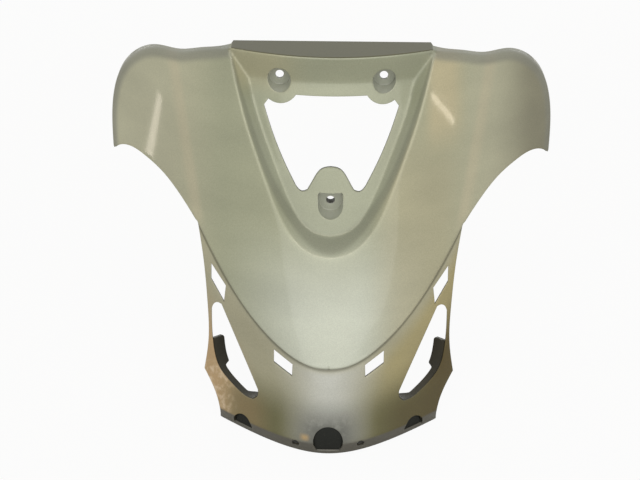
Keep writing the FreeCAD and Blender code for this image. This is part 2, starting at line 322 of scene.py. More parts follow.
@dataclass(frozen=True)
class Skin:
    """Leaning skin of the shield: each level section is a hyperbola with a soft fold before the wing."""

    crease_z: float = 13.0
    waist_z: float = 190.0
    deck_z: float = 350.0
    lean_low: float = 0.44
    lean_high: float = 0.60
    nose_low: float = 70.0
    nose_high: float = 165.0
    flank_low: float = 1.0
    flank_high: float = 0.90
    fold_x: float = 152.0
    fold_width: float = 12.0
    fold_gain: float = 0.42
    nearby: float = 0.05

    def y(self, x: Array, z: Array) -> Array:
        """Front of the skin: a leaning middle line, a hyperbolic bow across and the slope past the fold.

        Args:
            x: Places across.
            z: Heights.

        Returns:
            How far back the skin lies at each place.
        """
        rise = z - self.crease_z
        lean = (self.lean_high - self.lean_low) / (2.0 * (self.deck_z - self.crease_z))
        share = soft_step(rise / (self.waist_z - self.crease_z))
        nose = self.nose_low + (self.nose_high - self.nose_low) * share
        flank = self.flank_low + (self.flank_high - self.flank_low) * share
        bow = flank * (np.hypot(nose, x) - nose)
        past = np.abs(x) - self.fold_x
        fold = past + np.hypot(past, self.fold_width)
        flat = math.hypot(self.fold_x, self.fold_width) - self.fold_x
        return self.lean_low * rise + lean * rise ** 2 + bow + 0.5 * self.fold_gain * (fold - flat)

    def slopes(self, x: Array, z: Array) -> tuple[Array, Array]:
        """Slopes of the skin across and upward, from neighbours close by.

        Args:
            x: Places across.
            z: Heights.

        Returns:
            Slope across and slope upward at each place.
        """
        d = self.nearby
        across = (self.y(x + d, z) - self.y(x - d, z)) / (2.0 * d)
        upward = (self.y(x, z + d) - self.y(x, z - d)) / (2.0 * d)
        return across, upward


@dataclass
class FrontView:
    """Points and lines of the right half seen from the front, gathered for one triangulation."""

    outline: Array
    holes: list[Array]
    at: Array = field(default_factory=lambda: np.zeros((0, 2)))
    kinds: Array = field(default_factory=lambda: np.zeros(0, int))
    lines: list[Array] = field(default_factory=list)
    merge: float = 1e-5
    least_area: float = 1e-7

    def within(self, at: Array) -> Array:
        """Whether each point lies in the outline and in none of the holes.

        Args:
            at: Points to test; they are nudged to the right, so that the middle line counts as inside.

        Returns:
            True for each point on the panel.
        """
        at = at + [TINY, 0.0]
        kept = inside(self.outline, at)
        for hole in self.holes:
            kept &= ~inside(hole, at)
        return kept

    def far(self, at: Array, clear: float) -> Array:
        """Whether each point is at least a distance from all points so far.

        Args:
            at: Points to test.
            clear: Least distance.

        Returns:
            True for each point that keeps clear.
        """
        parts = []
        for part in np.array_split(at, max(len(at) // BATCH, 1)):
            gap = ((part[:, None, :] - self.at) ** 2).sum(axis=2)
            parts.append(gap.min(axis=1) >= clear ** 2)
        return np.concatenate(parts)

    def boundary(self, points: Array, kind: Edge, closed: bool = False) -> None:
        """Add a stretch of boundary, reusing points that are already there.

        Args:
            points: Points of the stretch in order.
            kind: What closes the wall along it.
            closed: Whether the last point joins the first.
        """
        index = np.arange(len(self.at), len(self.at) + len(points))
        if len(self.at):
            gap = np.linalg.norm(points[:, None, :] - self.at, axis=2)
            known = gap.min(axis=1) < SMALL
            index = np.where(known, gap.argmin(axis=1), len(self.at) + np.cumsum(~known) - 1)
            points = points[~known]
        self.at = np.concatenate([self.at, points])
        self.kinds = np.concatenate([self.kinds, np.full(len(points), int(kind))])
        pairs = columns(index, np.roll(index, -1))
        self.lines.append(pairs if closed else pairs[:-1])

    def row(self, points: Array, clear: float, joined: bool = False) -> None:
        """Add points inside the panel that keep clear of all points so far.

        Args:
            points: Points to add.
            clear: Least distance to earlier points.
            joined: Whether neighbours in the row are held together by a line.
        """
        kept = self.within(points) & self.far(points, clear)
        index = np.full(len(points), -1)
        index[kept] = len(self.at) + np.arange(kept.sum())
        self.at = np.concatenate([self.at, points[kept]])
        self.kinds = np.concatenate([self.kinds, np.full(kept.sum(), int(Edge.INSIDE))])
        if joined:
            pairs = columns(index[:-1], index[1:])
            self.lines.append(pairs[(pairs >= 0).all(axis=1)])

    def triangles(self) -> tuple[Array, Array, Array]:
        """Delaunay triangles that keep every line, without those outside the outline or in a hole.

        Returns:
            Points, their kinds, and triangles that turn left in the front view.
        """
        pairs = np.concatenate(self.lines)
        result = delaunay_2d_cdt(self.at.tolist(), pairs.tolist(), [], 0, self.merge)
        at = np.array([tuple(p) for p in result[0]])
        kinds = np.array([max((int(self.kinds[k]) for k in group), default=0) for group in result[3]])
        faces = np.array(result[2])
        faces = faces[self.within(at[faces].mean(axis=1))]
        a, b, c = at[faces].transpose(1, 0, 2)
        turn = (b[:, 0] - a[:, 0]) * (c[:, 1] - a[:, 1]) - (b[:, 1] - a[:, 1]) * (c[:, 0] - a[:, 0])
        faces[turn < 0.0] = faces[turn < 0.0][:, ::-1]
        return at, kinds, faces[np.abs(turn) > self.least_area]


def linked(name: str, data: bpy.types.ID) -> bpy.types.Object:
    """Object of some data, put into the scene at the origin.

    Args:
        name: Name of the object.
        data: Its mesh, lamp or camera data.

    Returns:
        The object.
    """
    thing = bpy.data.objects.new(name, data)
    bpy.context.scene.collection.objects.link(thing)
    return thing


@dataclass
class Shell:
    """Vertices, faces, finish numbers and marks of one mesh, gathered part by part."""

    vertices: list[Array] = field(default_factory=list)
    faces: list[Array] = field(default_factory=list)
    finishes: list[Array] = field(default_factory=list)
    marks: list[Array] = field(default_factory=list)
    count: int = 0
    sharp: float = 35.0

    def add(self, vertices: Array, groups: Sequence[tuple[Array, int]], marks: Array | None = None) -> None:
        """Add vertices and the faces between them.

        Args:
            vertices: Points in the panel's own frame.
            groups: Faces of three or four corners, each group with its finish number.
            marks: Measures of each point for the paint, one column each; all 0 where they are left out.
        """
        self.marks.append(np.zeros((len(vertices), len(MARKS))) if marks is None else marks)
        for faces, finish in groups:
            corners = np.full((len(faces), 4), -1)
            corners[:, : faces.shape[1]] = faces
            self.faces.append(np.where(corners >= 0, corners + self.count, -1))
            self.finishes.append(np.full(len(faces), int(finish)))
        self.vertices.append(vertices)
        self.count += len(vertices)

    def mirror(self) -> None:
        """Add the left half; points on the middle line are shared."""
        right, faces, finishes, marks = (np.concatenate(part) for part in (
            self.vertices, self.faces, self.finishes, self.marks))
        shared = np.abs(right[:, 0]) < ON_MIDDLE
        right[shared, 0] = 0.0
        twin = np.where(shared, np.arange(len(right)), len(right) + np.cumsum(~shared) - 1)
        left = np.where(faces >= 0, twin[faces], -1)
        triangle = faces[:, 3] < 0
        left[triangle] = left[triangle][:, [2, 1, 0, 3]]
        left[~triangle] = left[~triangle][:, ::-1]
        self.vertices = [right, right[~shared] * [-1.0, 1.0, 1.0]]
        self.marks = [marks, marks[~shared]]
        self.faces = [faces, left]
        self.finishes = [finishes, finishes]
        self.count = len(right) + int((~shared).sum())

    def piece(self, name: str) -> bpy.types.Object:
        """Make the mesh object, smooth apart from edges past the sharp angle.

        Args:
            name: Name of the piece.

        Returns:
            The object, at the origin of the row frame.
        """
        faces = np.concatenate(self.faces)
        sizes = np.where(faces[:, 3] < 0, 3, 4)
        corners = faces[faces >= 0]
        points = to_row(np.concatenate(self.vertices))
        mesh = bpy.data.meshes.new(name)
        mesh.vertices.add(len(points))
        mesh.vertices.foreach_set("co", points.astype(np.float32).ravel())
        mesh.loops.add(len(corners))
        mesh.loops.foreach_set("vertex_index", corners.astype(np.int32))
        mesh.polygons.add(len(faces))
        starts = np.r_[0, np.cumsum(sizes)[:-1]]
        mesh.polygons.foreach_set("loop_start", starts.astype(np.int32))
        mesh.polygons.foreach_set("material_index", np.concatenate(self.finishes).astype(np.int32))
        for label, values in zip(MARKS, np.concatenate(self.marks).T):
            mark = mesh.attributes.new(label, "FLOAT", "POINT")
            mark.data.foreach_set("value", np.ascontiguousarray(values, np.float32))
        mesh.update(calc_edges=True)
        mesh.validate()
        mesh.shade_smooth()
        mesh.set_sharp_from_angle(angle=math.radians(self.sharp))
        return linked(name, mesh)


def ribbon(rows: int, count: int, round_rows: bool, round_count: bool) -> Array:
    """Quads between neighbours on a grid of points, row after row.

    Args:
        rows: Rows of the grid.
        count: Points in a row.
        round_rows: Whether the last row joins the first.
        round_count: Whether the last point of a row joins the first.

    Returns:
        Corners of each quad.
    """
    index = np.arange(rows * count).reshape(rows, count)
    if round_rows:
        index = np.concatenate([index, index[:1]])
    if round_count:
        index = np.concatenate([index, index[:, :1]], axis=1)
    return columns(index[:-1, :-1], index[:-1, 1:], index[1:, 1:], index[1:, :-1]).reshape(-1, 4)


@dataclass(frozen=True)
class Bore:
    """Hole along a way into the panel, and the collar round it: round, with a flat bottom."""

    middle: Array
    radius: float
    floor: float
    end: float
    way: Array = field(default_factory=lambda: np.array([0.0, 1.0, 0.0]))
    across: Array = field(default_factory=lambda: np.array([1.0, 0.0, 0.0]))
    collar_wall: float = 2.2

    def place(self, section: Array, depth: Array | float) -> Array:
        """Points of a section, given across and up from the axis, at depths along the way."""
        level = self.middle + section[:, :1] * self.across + section[:, 1:] * [0.0, 0.0, 1.0]
        return level + np.reshape(depth, (-1, 1)) * self.way

    def mirrored(self) -> "Bore":
        """The same hole in the left half; its way across still runs to the right."""
        flip = np.array([-1.0, 1.0, 1.0])
        return replace(self, middle=self.middle * flip, way=self.way * flip, across=-self.across * flip)


@dataclass(frozen=True)
class Rows:
    """Rows of mesh points beside a feature: their places, clearance from earlier points and spacing."""

    places: tuple[float, ...]
    clear: float
    step: float = 2.0

    def each(self) -> list[tuple[float, float]]:
        """Every place with the clearance."""
        return [(place, self.clear) for place in self.places]


@dataclass
class FrontPanel:
    """The moulded panel: outline, step, recess, pockets, openings, lip and returns of its right half."""

    # Skin, wall and outline.
    skin: Skin = Skin()
    wall: float = 2.6
    steep_limit: float = 2.6
    slope_step: float = 0.4
    draw_reach: float = 10.0
    edge_r: float = 0.7
    edge_step: float = 2.0
    measure_step: float = 1.5
    fold_row: float = 1.0
    fold_share: float = 0.25
    deck: Knots = ((0, 350), (99, 350))
    wing: Knots = ((99, 350), (111, 346), (132, 341), (156, 334.5), (181, 330.5), (206, 317), (222, 298),
                   (232, 262), (230, 222))
    trim: Knots = ((230, 222), (220, 229.5), (206, 233), (190, 231), (171, 225), (152, 212.5), (133, 193))
    waist: Knots = ((133, 193), (131.6, 187.5))
    side: Knots = ((131.6, 187.5), (127, 164), (122.2, 118), (121.4, 85), (126.8, 45.6))
    foot: Knots = ((126.8, 45.6), (115, 26.8), (110, 10), (110, 1))
    lip: Knots = ((110, 1), (0, 1))

    # Step below the shield, lip, deck and the wing's rolled edge.
    step: Knots = ((0, 82), (14, 82.8), (32, 88), (52, 99), (68, 111), (95, 139), (116, 168), (133, 193))
    step_tail_x: float = 300.0
    shield_step: float = 3.5
    step_r: float = 2.4
    step_wall: float = 0.3
    lip_z: float = 1.0
    lip_run: float = 2.5
    lip_reach: float = 60.0
    lip_return: float = 22.0
    lip_return_power: int = 6
    lip_return_least: float = 0.02
    crease_soft: float = 1.6
    deck_rear_y: float = 223.0
    deck_edge_r: float = 2.2
    deck_step: float = 3.0
    wing_return: float = 14.5
    wing_tail: float = 20.0
    roll_r: float = 13.0
    roll_start: float = 4.0
    roll_grow: float = 22.0
    roll_least: float = 0.05

    # Recess and the big opening in it.
    recess_side: Knots = ((0, 180), (20, 184), (36, 194.5), (50, 214), (69, 253), (84, 288), (102.5, 350),
                          (107, 367))
    recess_depth: float = 18.0
    recess_run: float = 11.0
    recess_drop: float = 27.0
    rim_soft: float = 1.8
    rim_soft_foot: float = 7.0
    rim_blend: float = 70.0
    rim_top_gap: float = 0.8
    floor_soft: float = 1.2
    corner_soft: float = 4.0
    corner_fade: float = 4.0
    lobe_r: float = 21.0
    lobe_end: float = 300.0
    lobe_count: int = 19
    link_step: float = 1.5
    opening_top: float = 311.5
    opening_side: Knots = ((67, 300), (60, 282), (46, 253), (34, 233))
    opening_foot: Knots = ((34, 233), (28.5, 229), (23, 230.5))
    opening_foot_step: float = 1.2
    opening_tongue: Knots = ((23, 230.5), (18.2, 238), (14, 244.5), (9.5, 248.8), (0, 251))
    tongue_step: float = 1.6

    # Slots and windows of the lower part.
    upper_slot: Knots = ((118, 157), (103, 140), (105, 124), (118, 142))
    lower_slot: Knots = ((54, 92), (35.5, 82), (36, 71), (54, 80))
    slot_step: float = 1.6
    window_inner: Knots = ((107.5, 121), (89, 85), (70.2, 48.7))
    window_foot: Knots = ((70.2, 48.7), (70.6, 42), (75.5, 36.8))
    window_low: Knots = ((75.5, 36.8), (82, 36.7), (90.3, 39.6), (100.2, 45.2), (109.3, 52.9), (115.8, 71.4))
    window_outer: Knots = ((117.8, 98), (117.8, 113))
    window_head: Knots = ((117.8, 113), (115.2, 119.2), (111.5, 121.6), (107.5, 121))
    window_step: float = 1.8
    window_wall_top: tuple[float, float] = (116.9, 82.5)
    window_wall_step: float = 1.2
    window_lead: float = 1.6
    window_return: float = 10.0
    window_tab: float = 17.0
    window_tab_z: float = 54.3
    window_tab_run: float = 3.0
    window_bump: float = 19.0
    window_bump_x: float = 88.0
    window_bump_run: float = 6.0
    window_end_cut: float = 0.2
    window_end_run: float = 2.5
    window_end_over: float = 0.5

    # Screw pockets and the tube behind the lower one.
    screw_r: float = 4.2
    screw_count: int = 24
    upper_x: float = 52.0
    upper_z: float = float(SEAT[2])
    upper_seat: float = float(SEAT[1])
    upper_r: float = 11.3
    upper_count: int = 44
    lower_z: float = 218.0
    lower_seat: float = 131.0
    lower_r: float = 12.0
    lower_flat: float = 10.0
    lower_count: int = 31
    pocket_lead: float = 0.5
    pocket_run: float = 1.4
    pocket_mark: float = 1.0
    tube_r: float = 8.0
    tube: float = 8.0
    tube_count: int = 40

    # Plug holes, their collars and the small holes in the lip.
    hole_floor_z: float = 4.8
    centre_z: float = 14.5
    centre_r: float = 14.5
    centre_collar_y: float = 20.0
    side_x: float = 89.0
    side_z: float = 6.0
    side_r: float = 12.0
    side_collar: float = 15.0
    collar_lead: float = 2.2
    collar_least: float = 0.2
    slide_rounds: int = 14
    lip_hole_x: float = 32.0
    lip_hole_z: float = 9.2
    lip_hole_r: float = 3.6
    lip_hole_count: int = 20

    # Rows of mesh points, closer where the surface bends, and the filling between them.
    edge_rows: Rows = Rows((0.15, 0.4, 0.75), 0.1)
    roll_rows: Rows = Rows((0.12, 0.45), 0.1)
    roll_far_rows: Rows = Rows((1.0, 1.8, 2.8, 4.0, 5.5, 7.2, 9.2), 0.4)
    pocket_rows: Rows = Rows((-5.0, -2.6, -1.7, -1.2, -0.8, -0.4, 0.0, 0.4, 0.9, 1.4, 1.8, 2.2, 2.6, 3.1,
                              4.2), 0.3)
    step_rows: Rows = Rows((-1.5, -1.1, -0.7, -0.35, -0.1, 0.0, 0.3, 0.9), 0.12, 1.6)
    step_far_rows: Rows = Rows((-1.9, -2.2, -2.6, -3.2, -4.2), 0.25)
    rim_rows: Rows = Rows(tuple(np.arange(-8.0, 17.0, 1.4)), 0.9, 2.2)
    lip_rows: Rows = Rows((2.4, 3.6, 5.0, 6.6, 8.2, 9.6, 10.8, 11.8, 12.7, 13.6, 14.6, 15.8, 17.4, 19.4),
                          0.7, 2.2)
    lip_half: float = 125.0
    deck_edge_rows: Rows = Rows((1.15, 1.6, 2.1, 2.7), 0.3)
    deck_rows: Rows = Rows(tuple(np.arange(346.0, 320.0, -2.2)), 0.9, 2.4)
    deck_half: float = 100.0
    middle_rows: Rows = Rows((0.0,), 1.2, 2.6)
    spacing: float = 3.0
    spacing_clear: float = 0.62
    spacing_rise: float = 0.866
    half_wide: float = 240.0

    def __post_init__(self) -> None:
        """Lines that distances are measured from; those of the cut edges follow in gather()."""
        tail = [[self.step_tail_x, self.step[-1][1]]]
        self.step_line = Line(np.concatenate([curve(self.step, self.measure_step), tail]))
        self.recess_line = Line(curve(self.recess_side, self.measure_step))
        wing = curve(self.wing, self.edge_step)
        tail = wing[-1:] + (wing[-1:] - wing[-2:-1]) * self.wing_tail
        self.wing_line = Line(np.concatenate([wing, tail]))
        self.top_line = Line(np.concatenate([curve(self.deck, self.edge_step), wing[1:]]))
        self.cut_lines: list[Line] = []

    def recess(self, at: Array) -> Array:
        """Depth of the recess: ramps from its side line and the deck, and a flat floor, all rounded.

        The rounding's tail outside the side line is taken off, so that the skin there stays as it is.

        Args:
            at: Places in the front view.

        Returns:
            How far the recess lies behind the skin.
        """
        side = self.recess_line.nearest(at)[0] * self.recess_depth / self.recess_run
        low = soft_step((at[:, 1] - self.recess_side[0][1]) / self.rim_blend)
        soft = self.rim_soft_foot + (self.rim_soft - self.rim_soft_foot) * low
        side = smooth_max(side, 0.0, soft) - 0.25 * soft ** 2 / np.hypot(side, soft)
        side = np.maximum(side, 0.0)
        top = (self.skin.deck_z - at[:, 1]) * self.recess_depth / self.recess_drop
        depth = smooth_min(side, top, self.corner_soft * side / (side + self.corner_fade))
        return smooth_min(depth, self.recess_depth, self.floor_soft) * (depth > SMALL)

    def base(self, at: Array, lead: float = 0.0) -> Array:
        """Front of the panel without recess and pockets: shield, step, lower part and sloped lip.

        The lower part lies one step behind the skin, square to it. The lip runs on from the crease, further
        back as it drops, and the two are rounded into each other.

        Args:
            at: Places in the front view.
            lead: How far inside the shield the step already starts, for the back of the wall.

        Returns:
            The y of each place.
        """
        x, z = at.T
        across, upward = self.skin.slopes(x, z)
        full = self.shield_step * np.sqrt(1.0 + across ** 2 + upward ** 2)
        past = lead - self.step_line.nearest(at)[0]
        turn = np.clip(past + self.step_r, 0.0, self.step_r)
        drop = self.step_r - np.sqrt(self.step_r ** 2 - turn ** 2)
        drop = drop + (full - self.step_r) * np.clip(past / self.step_wall, 0.0, 1.0)
        crease = np.full_like(z, self.skin.crease_z)
        across, upward = self.skin.slopes(x, crease)
        fall = self.lip_run * (crease - z) / (self.skin.crease_z - self.lip_z)
        lip = self.skin.y(x, crease) + (self.shield_step + fall) * np.sqrt(1.0 + across ** 2 + upward ** 2)
        return smooth_max(self.skin.y(x, z) + drop, np.where(z < self.lip_reach, lip, -FAR), self.crease_soft)

    def pocket_gaps(self, at: Array) -> tuple[Array, Array]:
        """Distance outside the edge of each pocket; the lower one is half round with a square top.

        Args:
            at: Places in the front view.

        Returns:
            Distances from the upper and from the lower pocket, negative inside.
        """
        x, z = at.T
        upper = np.hypot(x - self.upper_x, z - self.upper_z) - self.upper_r
        lower = np.hypot(x, np.minimum(z - self.lower_z, 0.0)) - self.lower_r
        return upper, np.maximum(lower, z - self.lower_z - self.lower_flat)

    def pockets(self, at: Array, y: Array, grow: float) -> Array:
        """Surface with the screw pockets sunk into it, each a steep soft ramp down to a flat seat.

        Args:
            at: Places in the front view.
            y: Surface without pockets.
            grow: How much larger and deeper the pockets are, for the back of the wall.

        Returns:
            The y of each place.
        """
        for gap, seat in zip(self.pocket_gaps(at), (self.upper_seat, self.lower_seat)):
            y = y + (seat + grow - y) * soft_step((self.pocket_lead + grow - gap) / self.pocket_run)
        return y

    @staticmethod
    def roll(gap: Array, radius: Array | float, slope: Array | float) -> Array:
        """Extra depth of a rounded edge: an arc that touches the sloped skin and ends square to the front.

        Args:
            gap: Distance from the edge in the front view.
            radius: Radius of the arc.
            slope: Slope of the skin towards the edge.

        Returns:
            How far the arc lies behind the skin.
        """
        long = np.sqrt(1.0 + np.square(slope))
        arc = radius * (long - slope) + slope * gap
        arc = arc - np.sqrt(np.maximum(np.square(radius) - np.square(radius - gap), 0.0))
        return np.where(gap < radius * (1.0 - slope / long), arc, 0.0)

    def wing_roll(self, at: Array, inset: float) -> Array:
        """Roll of the wing's edge, which grows out of the deck's corner.

        Args:
            at: Places in the front view.
            inset: How much smaller the roll is, on the back of the wall.

        Returns:
            How far the roll lies behind the skin.
        """
        gap, left, along = self.wing_line.nearest(at)
        across, upward = self.skin.slopes(*at.T)
        slope = across * left[:, 0] + upward * left[:, 1]
        grown = soft_step((along + self.roll_start) / self.roll_grow)
        radius = np.maximum(self.roll_r * grown - inset, self.roll_least)
        return self.roll(np.maximum(np.abs(gap) - inset, 0.0), radius, slope)

    def front(self, at: Array) -> Array:
        """Front surface, with its rolled and softened edges.

        Args:
            at: Places in the front view.

        Returns:
            The y of each place.
        """
        y = self.pockets(at, self.base(at) + self.recess(at), 0.0) + self.wing_roll(at, 0.0)
        gap = np.min([np.abs(line.nearest(at)[0]) for line in self.cut_lines], axis=0)
        y = y + self.roll(gap, self.edge_r, 0.0)
        return y + self.roll(self.skin.deck_z - at[:, 1], self.deck_edge_r, 0.0)

    def back(self, at: Array) -> Array:
        """Back surface: one wall behind the front, measured square to the sloped skin and recess.

        Args:
            at: Places in the front view.

        Returns:
            The y of each place.
        """
        d = self.slope_step
        square = 1.0
        for shift in ([d, 0.0], [0.0, d]):
            ahead, behind = at + shift, at - shift
            rise = self.skin.y(*ahead.T) + self.recess(ahead) - self.skin.y(*behind.T) - self.recess(behind)
            square = square + (rise / (2.0 * d)) ** 2
        thick = self.wall * np.minimum(np.sqrt(square), self.steep_limit)
        y = self.base(at, self.wall) + self.recess(at) + thick
        return self.pockets(at, y, self.wall) + self.wing_roll(at, self.wall)

    def drawn_in(self, at: Array) -> Array:
        """Places of the back surface: near the deck, wing and lip edges they draw in by one wall.

        Args:
            at: Places in the front view.

        Returns:
            The moved places.
        """
        gap, left, _ = self.top_line.nearest(at)
        share = np.clip(1.0 - np.abs(gap) / self.draw_reach, 0.0, 1.0)
        low = np.clip(1.0 - (at[:, 1] - self.lip_z) / self.draw_reach, 0.0, 1.0)
        return at - left * (self.wall * share)[:, None] + columns(0.0, self.wall * low)

    def centre_bore(self) -> Bore:
        """Hole of the centre plug, straight back from the front."""
        middle = np.array([0.0, 0.0, self.centre_z])
        return Bore(middle, self.centre_r, self.hole_floor_z - self.centre_z, self.centre_collar_y)

    def side_bore(self) -> Bore:
        """Hole of the right plug: its axis is level and passes the crease square to the section there.

        Returns:
            The hole, with its depths measured from the crease.
        """
        place = (self.side_x, self.skin.crease_z)
        across, upward = self.skin.slopes(*place)
        level = math.hypot(1.0, across)
        push = self.shield_step * math.sqrt(1.0 + across ** 2 + upward ** 2) / level
        x, y = self.side_x - push * across / level, self.skin.y(*place) + push / level
        middle = np.array([x, y, self.side_z])
        way, over = np.array([[-across, 1.0, 0.0], [1.0, across, 0.0]]) / level
        return Bore(middle, self.side_r, self.hole_floor_z - self.side_z, self.side_collar, way, over)

    def slide(self, bore: Bore, section: Array) -> Array:
        """How far each line of a bar in a bore slides along it until the line's end lies on the front.

        Args:
            bore: The bore.
            section: Section of the bar, across and up from the bore's axis.

        Returns:
            Depth along the way for each point of the section.
        """
        slide = np.zeros(len(section))
        for _ in range(self.slide_rounds):
            points = bore.place(section, slide)
            slide = slide + (self.base(points[:, [0, 2]]) - points[:, 1]) * bore.way[1]
        return slide

    def opening(self) -> Array:
        """Right half of the big opening's edge, from the middle of its head round to the top of the tongue.

        Returns:
            Points in order: head, lobe round the screw pocket, short link, side, foot and tongue.
        """
        x, z, r = self.upper_x, self.upper_z, self.lobe_r
        first = math.atan2(self.opening_top - z, -math.sqrt(r ** 2 - (z - self.opening_top) ** 2))
        turn = np.linspace(first % (2.0 * math.pi), math.radians(self.lobe_end), self.lobe_count)
        lobe = columns(x + r * np.cos(turn), z + r * np.sin(turn))
        parts = [evenly(np.array([[0.0, self.opening_top], lobe[0]]), self.edge_step), lobe,
                 evenly(np.array([lobe[-1], self.opening_side[0]]), self.link_step),
                 curve(self.opening_side, self.edge_step), curve(self.opening_foot, self.opening_foot_step)]
        return np.concatenate([part[:-1] for part in parts] + [curve(self.opening_tongue, self.tongue_step)])

    def window(self) -> Array:
        """Edge of the right window."""
        parts = (self.window_inner, self.window_foot, self.window_low + self.window_outer, self.window_head)
        return np.concatenate([curve(part, self.window_step)[:-1] for part in parts])

    def slot(self, corners: Knots) -> Array:
        """Edge of a slot with straight sides."""
        ends = np.array(corners + corners[:1], float)
        return np.concatenate([evenly(ends[i:i + 2], self.slot_step)[:-1] for i in range(len(corners))])

    def pocket_ring(self, grow: float) -> Array:
        """Right half of a line round the lower pocket: half round, with a square top.

        Args:
            grow: Distance outside the pocket's edge.

        Returns:
            Points from the foot to the head.
        """
        turn = np.linspace(-0.5 * math.pi, 0.5 * math.pi, self.lower_count)
        flat = (self.lower_flat + grow) / np.maximum(np.sin(turn), TINY)
        side = (self.lower_r + grow) / np.maximum(np.cos(turn), TINY)
        radius = np.where(turn > 0.0, np.minimum(side, flat), self.lower_r + grow)
        points = columns(radius * np.cos(turn), self.lower_z + radius * np.sin(turn))
        points[[0, -1], 0] = 0.0
        return points

    def gather(self) -> FrontView:
        """Boundary, feature rows and filling points of the right half, in that order of right of way.

        Returns:
            The front view, ready for its triangles.
        """
        stretches = [(self.deck, Edge.DECK, self.deck_step), (self.wing, Edge.WING, self.edge_step)]
        cuts = (self.trim, self.waist, self.side, self.foot)
        stretches += [(knots, Edge.CUT, self.edge_step) for knots in cuts]
        stretches.append((self.lip, Edge.LIP, self.edge_step))
        edges = [(curve(knots, step), kind) for knots, kind, step in stretches]
        outline = np.concatenate([points[:-1] for points, _ in edges] + [edges[-1][0][-1:]])
        bore, centre = self.side_bore(), self.centre_bore()
        section = flat_ring(bore.radius, bore.floor)
        closed = [self.window(), self.slot(self.upper_slot), self.slot(self.lower_slot),
                  bore.place(section, self.slide(bore, section))[:, [0, 2]],
                  ring(self.upper_x, self.upper_z, self.screw_r, self.screw_count),
                  ring(self.lip_hole_x, self.lip_hole_z, self.lip_hole_r, self.lip_hole_count)]
        opening = self.opening()
        screw_hole = ring(0.0, self.lower_z, self.screw_r, self.screw_count, True)
        centre_hole = flat_ring(centre.radius, centre.floor, True) + [0.0, self.centre_z]
        halves = [opening, screw_hole, centre_hole]
        view = FrontView(outline, closed + halves)
        for points, kind in edges + [(points, Edge.CUT) for points in halves]:
            view.boundary(points, kind)
        for points in closed:
            view.boundary(points, Edge.CUT, closed=True)
        self.cut_lines = [Line(points) for points, kind in edges if kind in (Edge.CUT, Edge.LIP)]
        self.cut_lines += [Line(np.concatenate([points, points[:1]])) for points in closed]
        self.cut_lines += [Line(points) for points in halves]
        borders = [(points, -1.0, False) for points, kind in edges if kind != Edge.WING]
        borders += [(points, -math.copysign(1.0, loop_area(points)), True) for points in closed]
        borders += [(opening, 1.0, False), (centre_hole, -1.0, False)]
        for gap, clear in self.edge_rows.each():
            for points, sign, whole in borders:
                view.row(beside(points, sign * gap, whole), clear)
            view.row(ring(0.0, self.lower_z, self.screw_r + gap, self.screw_count, True), clear)
        self.fill(view, edges[0][0], edges[1][0])
        return view

    def fill(self, view: FrontView, deck: Array, wing: Array) -> None:
        """Rows of points along the roll, pockets, step, rim, lip and deck, then an even filling between them.

        Args:
            view: Front view that gets the points.
            deck: Edge of the deck.
            wing: Edge of the wing.
        """
        for gap, clear in self.roll_rows.each() + self.roll_far_rows.each():
            view.row(beside(wing, -gap), clear)
        for grow, clear in self.pocket_rows.each():
            view.row(ring(self.upper_x, self.upper_z, self.upper_r + grow, self.upper_count), clear)
            view.row(self.pocket_ring(grow), clear)
        step = curve(self.step, self.step_rows.step)
        for gap, clear in self.step_rows.each():
            view.row(beside(step, -gap), clear, joined=True)
        for gap, clear in self.step_far_rows.each():
            view.row(beside(step, -gap), clear)
        rim = curve(self.recess_side, self.rim_rows.step)
        for gap, clear in self.rim_rows.each():
            row = beside(rim, gap)
            row[0, 0] = 0.0
            view.row(row[(row[:, 0] >= 0.0) & (row[:, 1] < self.skin.deck_z - self.rim_top_gap)], clear)
        for z, clear in self.lip_rows.each():
            view.row(columns(np.arange(0.0, self.lip_half, self.lip_rows.step), z), clear)
        for gap, clear in self.deck_edge_rows.each():
            view.row(beside(deck, -gap), clear)
        for z, clear in self.deck_rows.each():
            view.row(columns(np.arange(0.0, self.deck_half, self.deck_rows.step), z), clear)
        for x, clear in self.middle_rows.each():
            view.row(columns(x, np.arange(self.lip_z, self.skin.deck_z, self.middle_rows.step)), clear)
        heights = np.arange(self.lip_z, self.skin.deck_z, self.spacing * self.spacing_rise)[:, None]
        stagger = 0.5 * self.spacing * (np.arange(len(heights)) % 2)[:, None]
        across = np.arange(0.0, self.half_wide, self.spacing)
        view.row(columns(across + stagger, heights).reshape(-1, 2), self.spacing_clear * self.spacing)

    def returns(self, front: Array, back: Array, kinds: Array) -> tuple[Array, Array]:
        """Two further points of the profile that closes the wall at each boundary point.

        A cut edge goes straight from front to back. The deck goes to its rear edge and turns down, the wing
        to the rear of its return and inward, and the lip to the rear of its flat return and up.

        Args:
            front: Front points of the boundary.
            back: Back points of the boundary.
            kinds: Kind of each boundary point.

        Returns:
            The second and third points of each profile.
        """
        second = front + (back - front) / 3.0
        third = front + (back - front) * (2.0 / 3.0)
        folded = np.isin(kinds, FOLDED)
        second[folded], third[folded] = front[folded], back[folded]
        deck, wing, lip = (kinds == kind for kind in FOLDED)
        x = front[lip, 0]
        across = self.skin.slopes(x, np.full_like(x, self.skin.crease_z))[0]
        short = np.maximum(1.0 - (x / self.foot[-1][0]) ** self.lip_return_power, self.lip_return_least)
        depth = self.lip_return * short / np.hypot(1.0, across)
        for points in (second, third):
            points[deck, 1] = self.deck_rear_y
            points[wing, 1] = self.skin.y(front[wing, 0], front[wing, 2]) + self.wing_return
            points[lip, 0] = x - depth * across
            points[lip, 1] = front[lip, 1] + depth
        return second, third

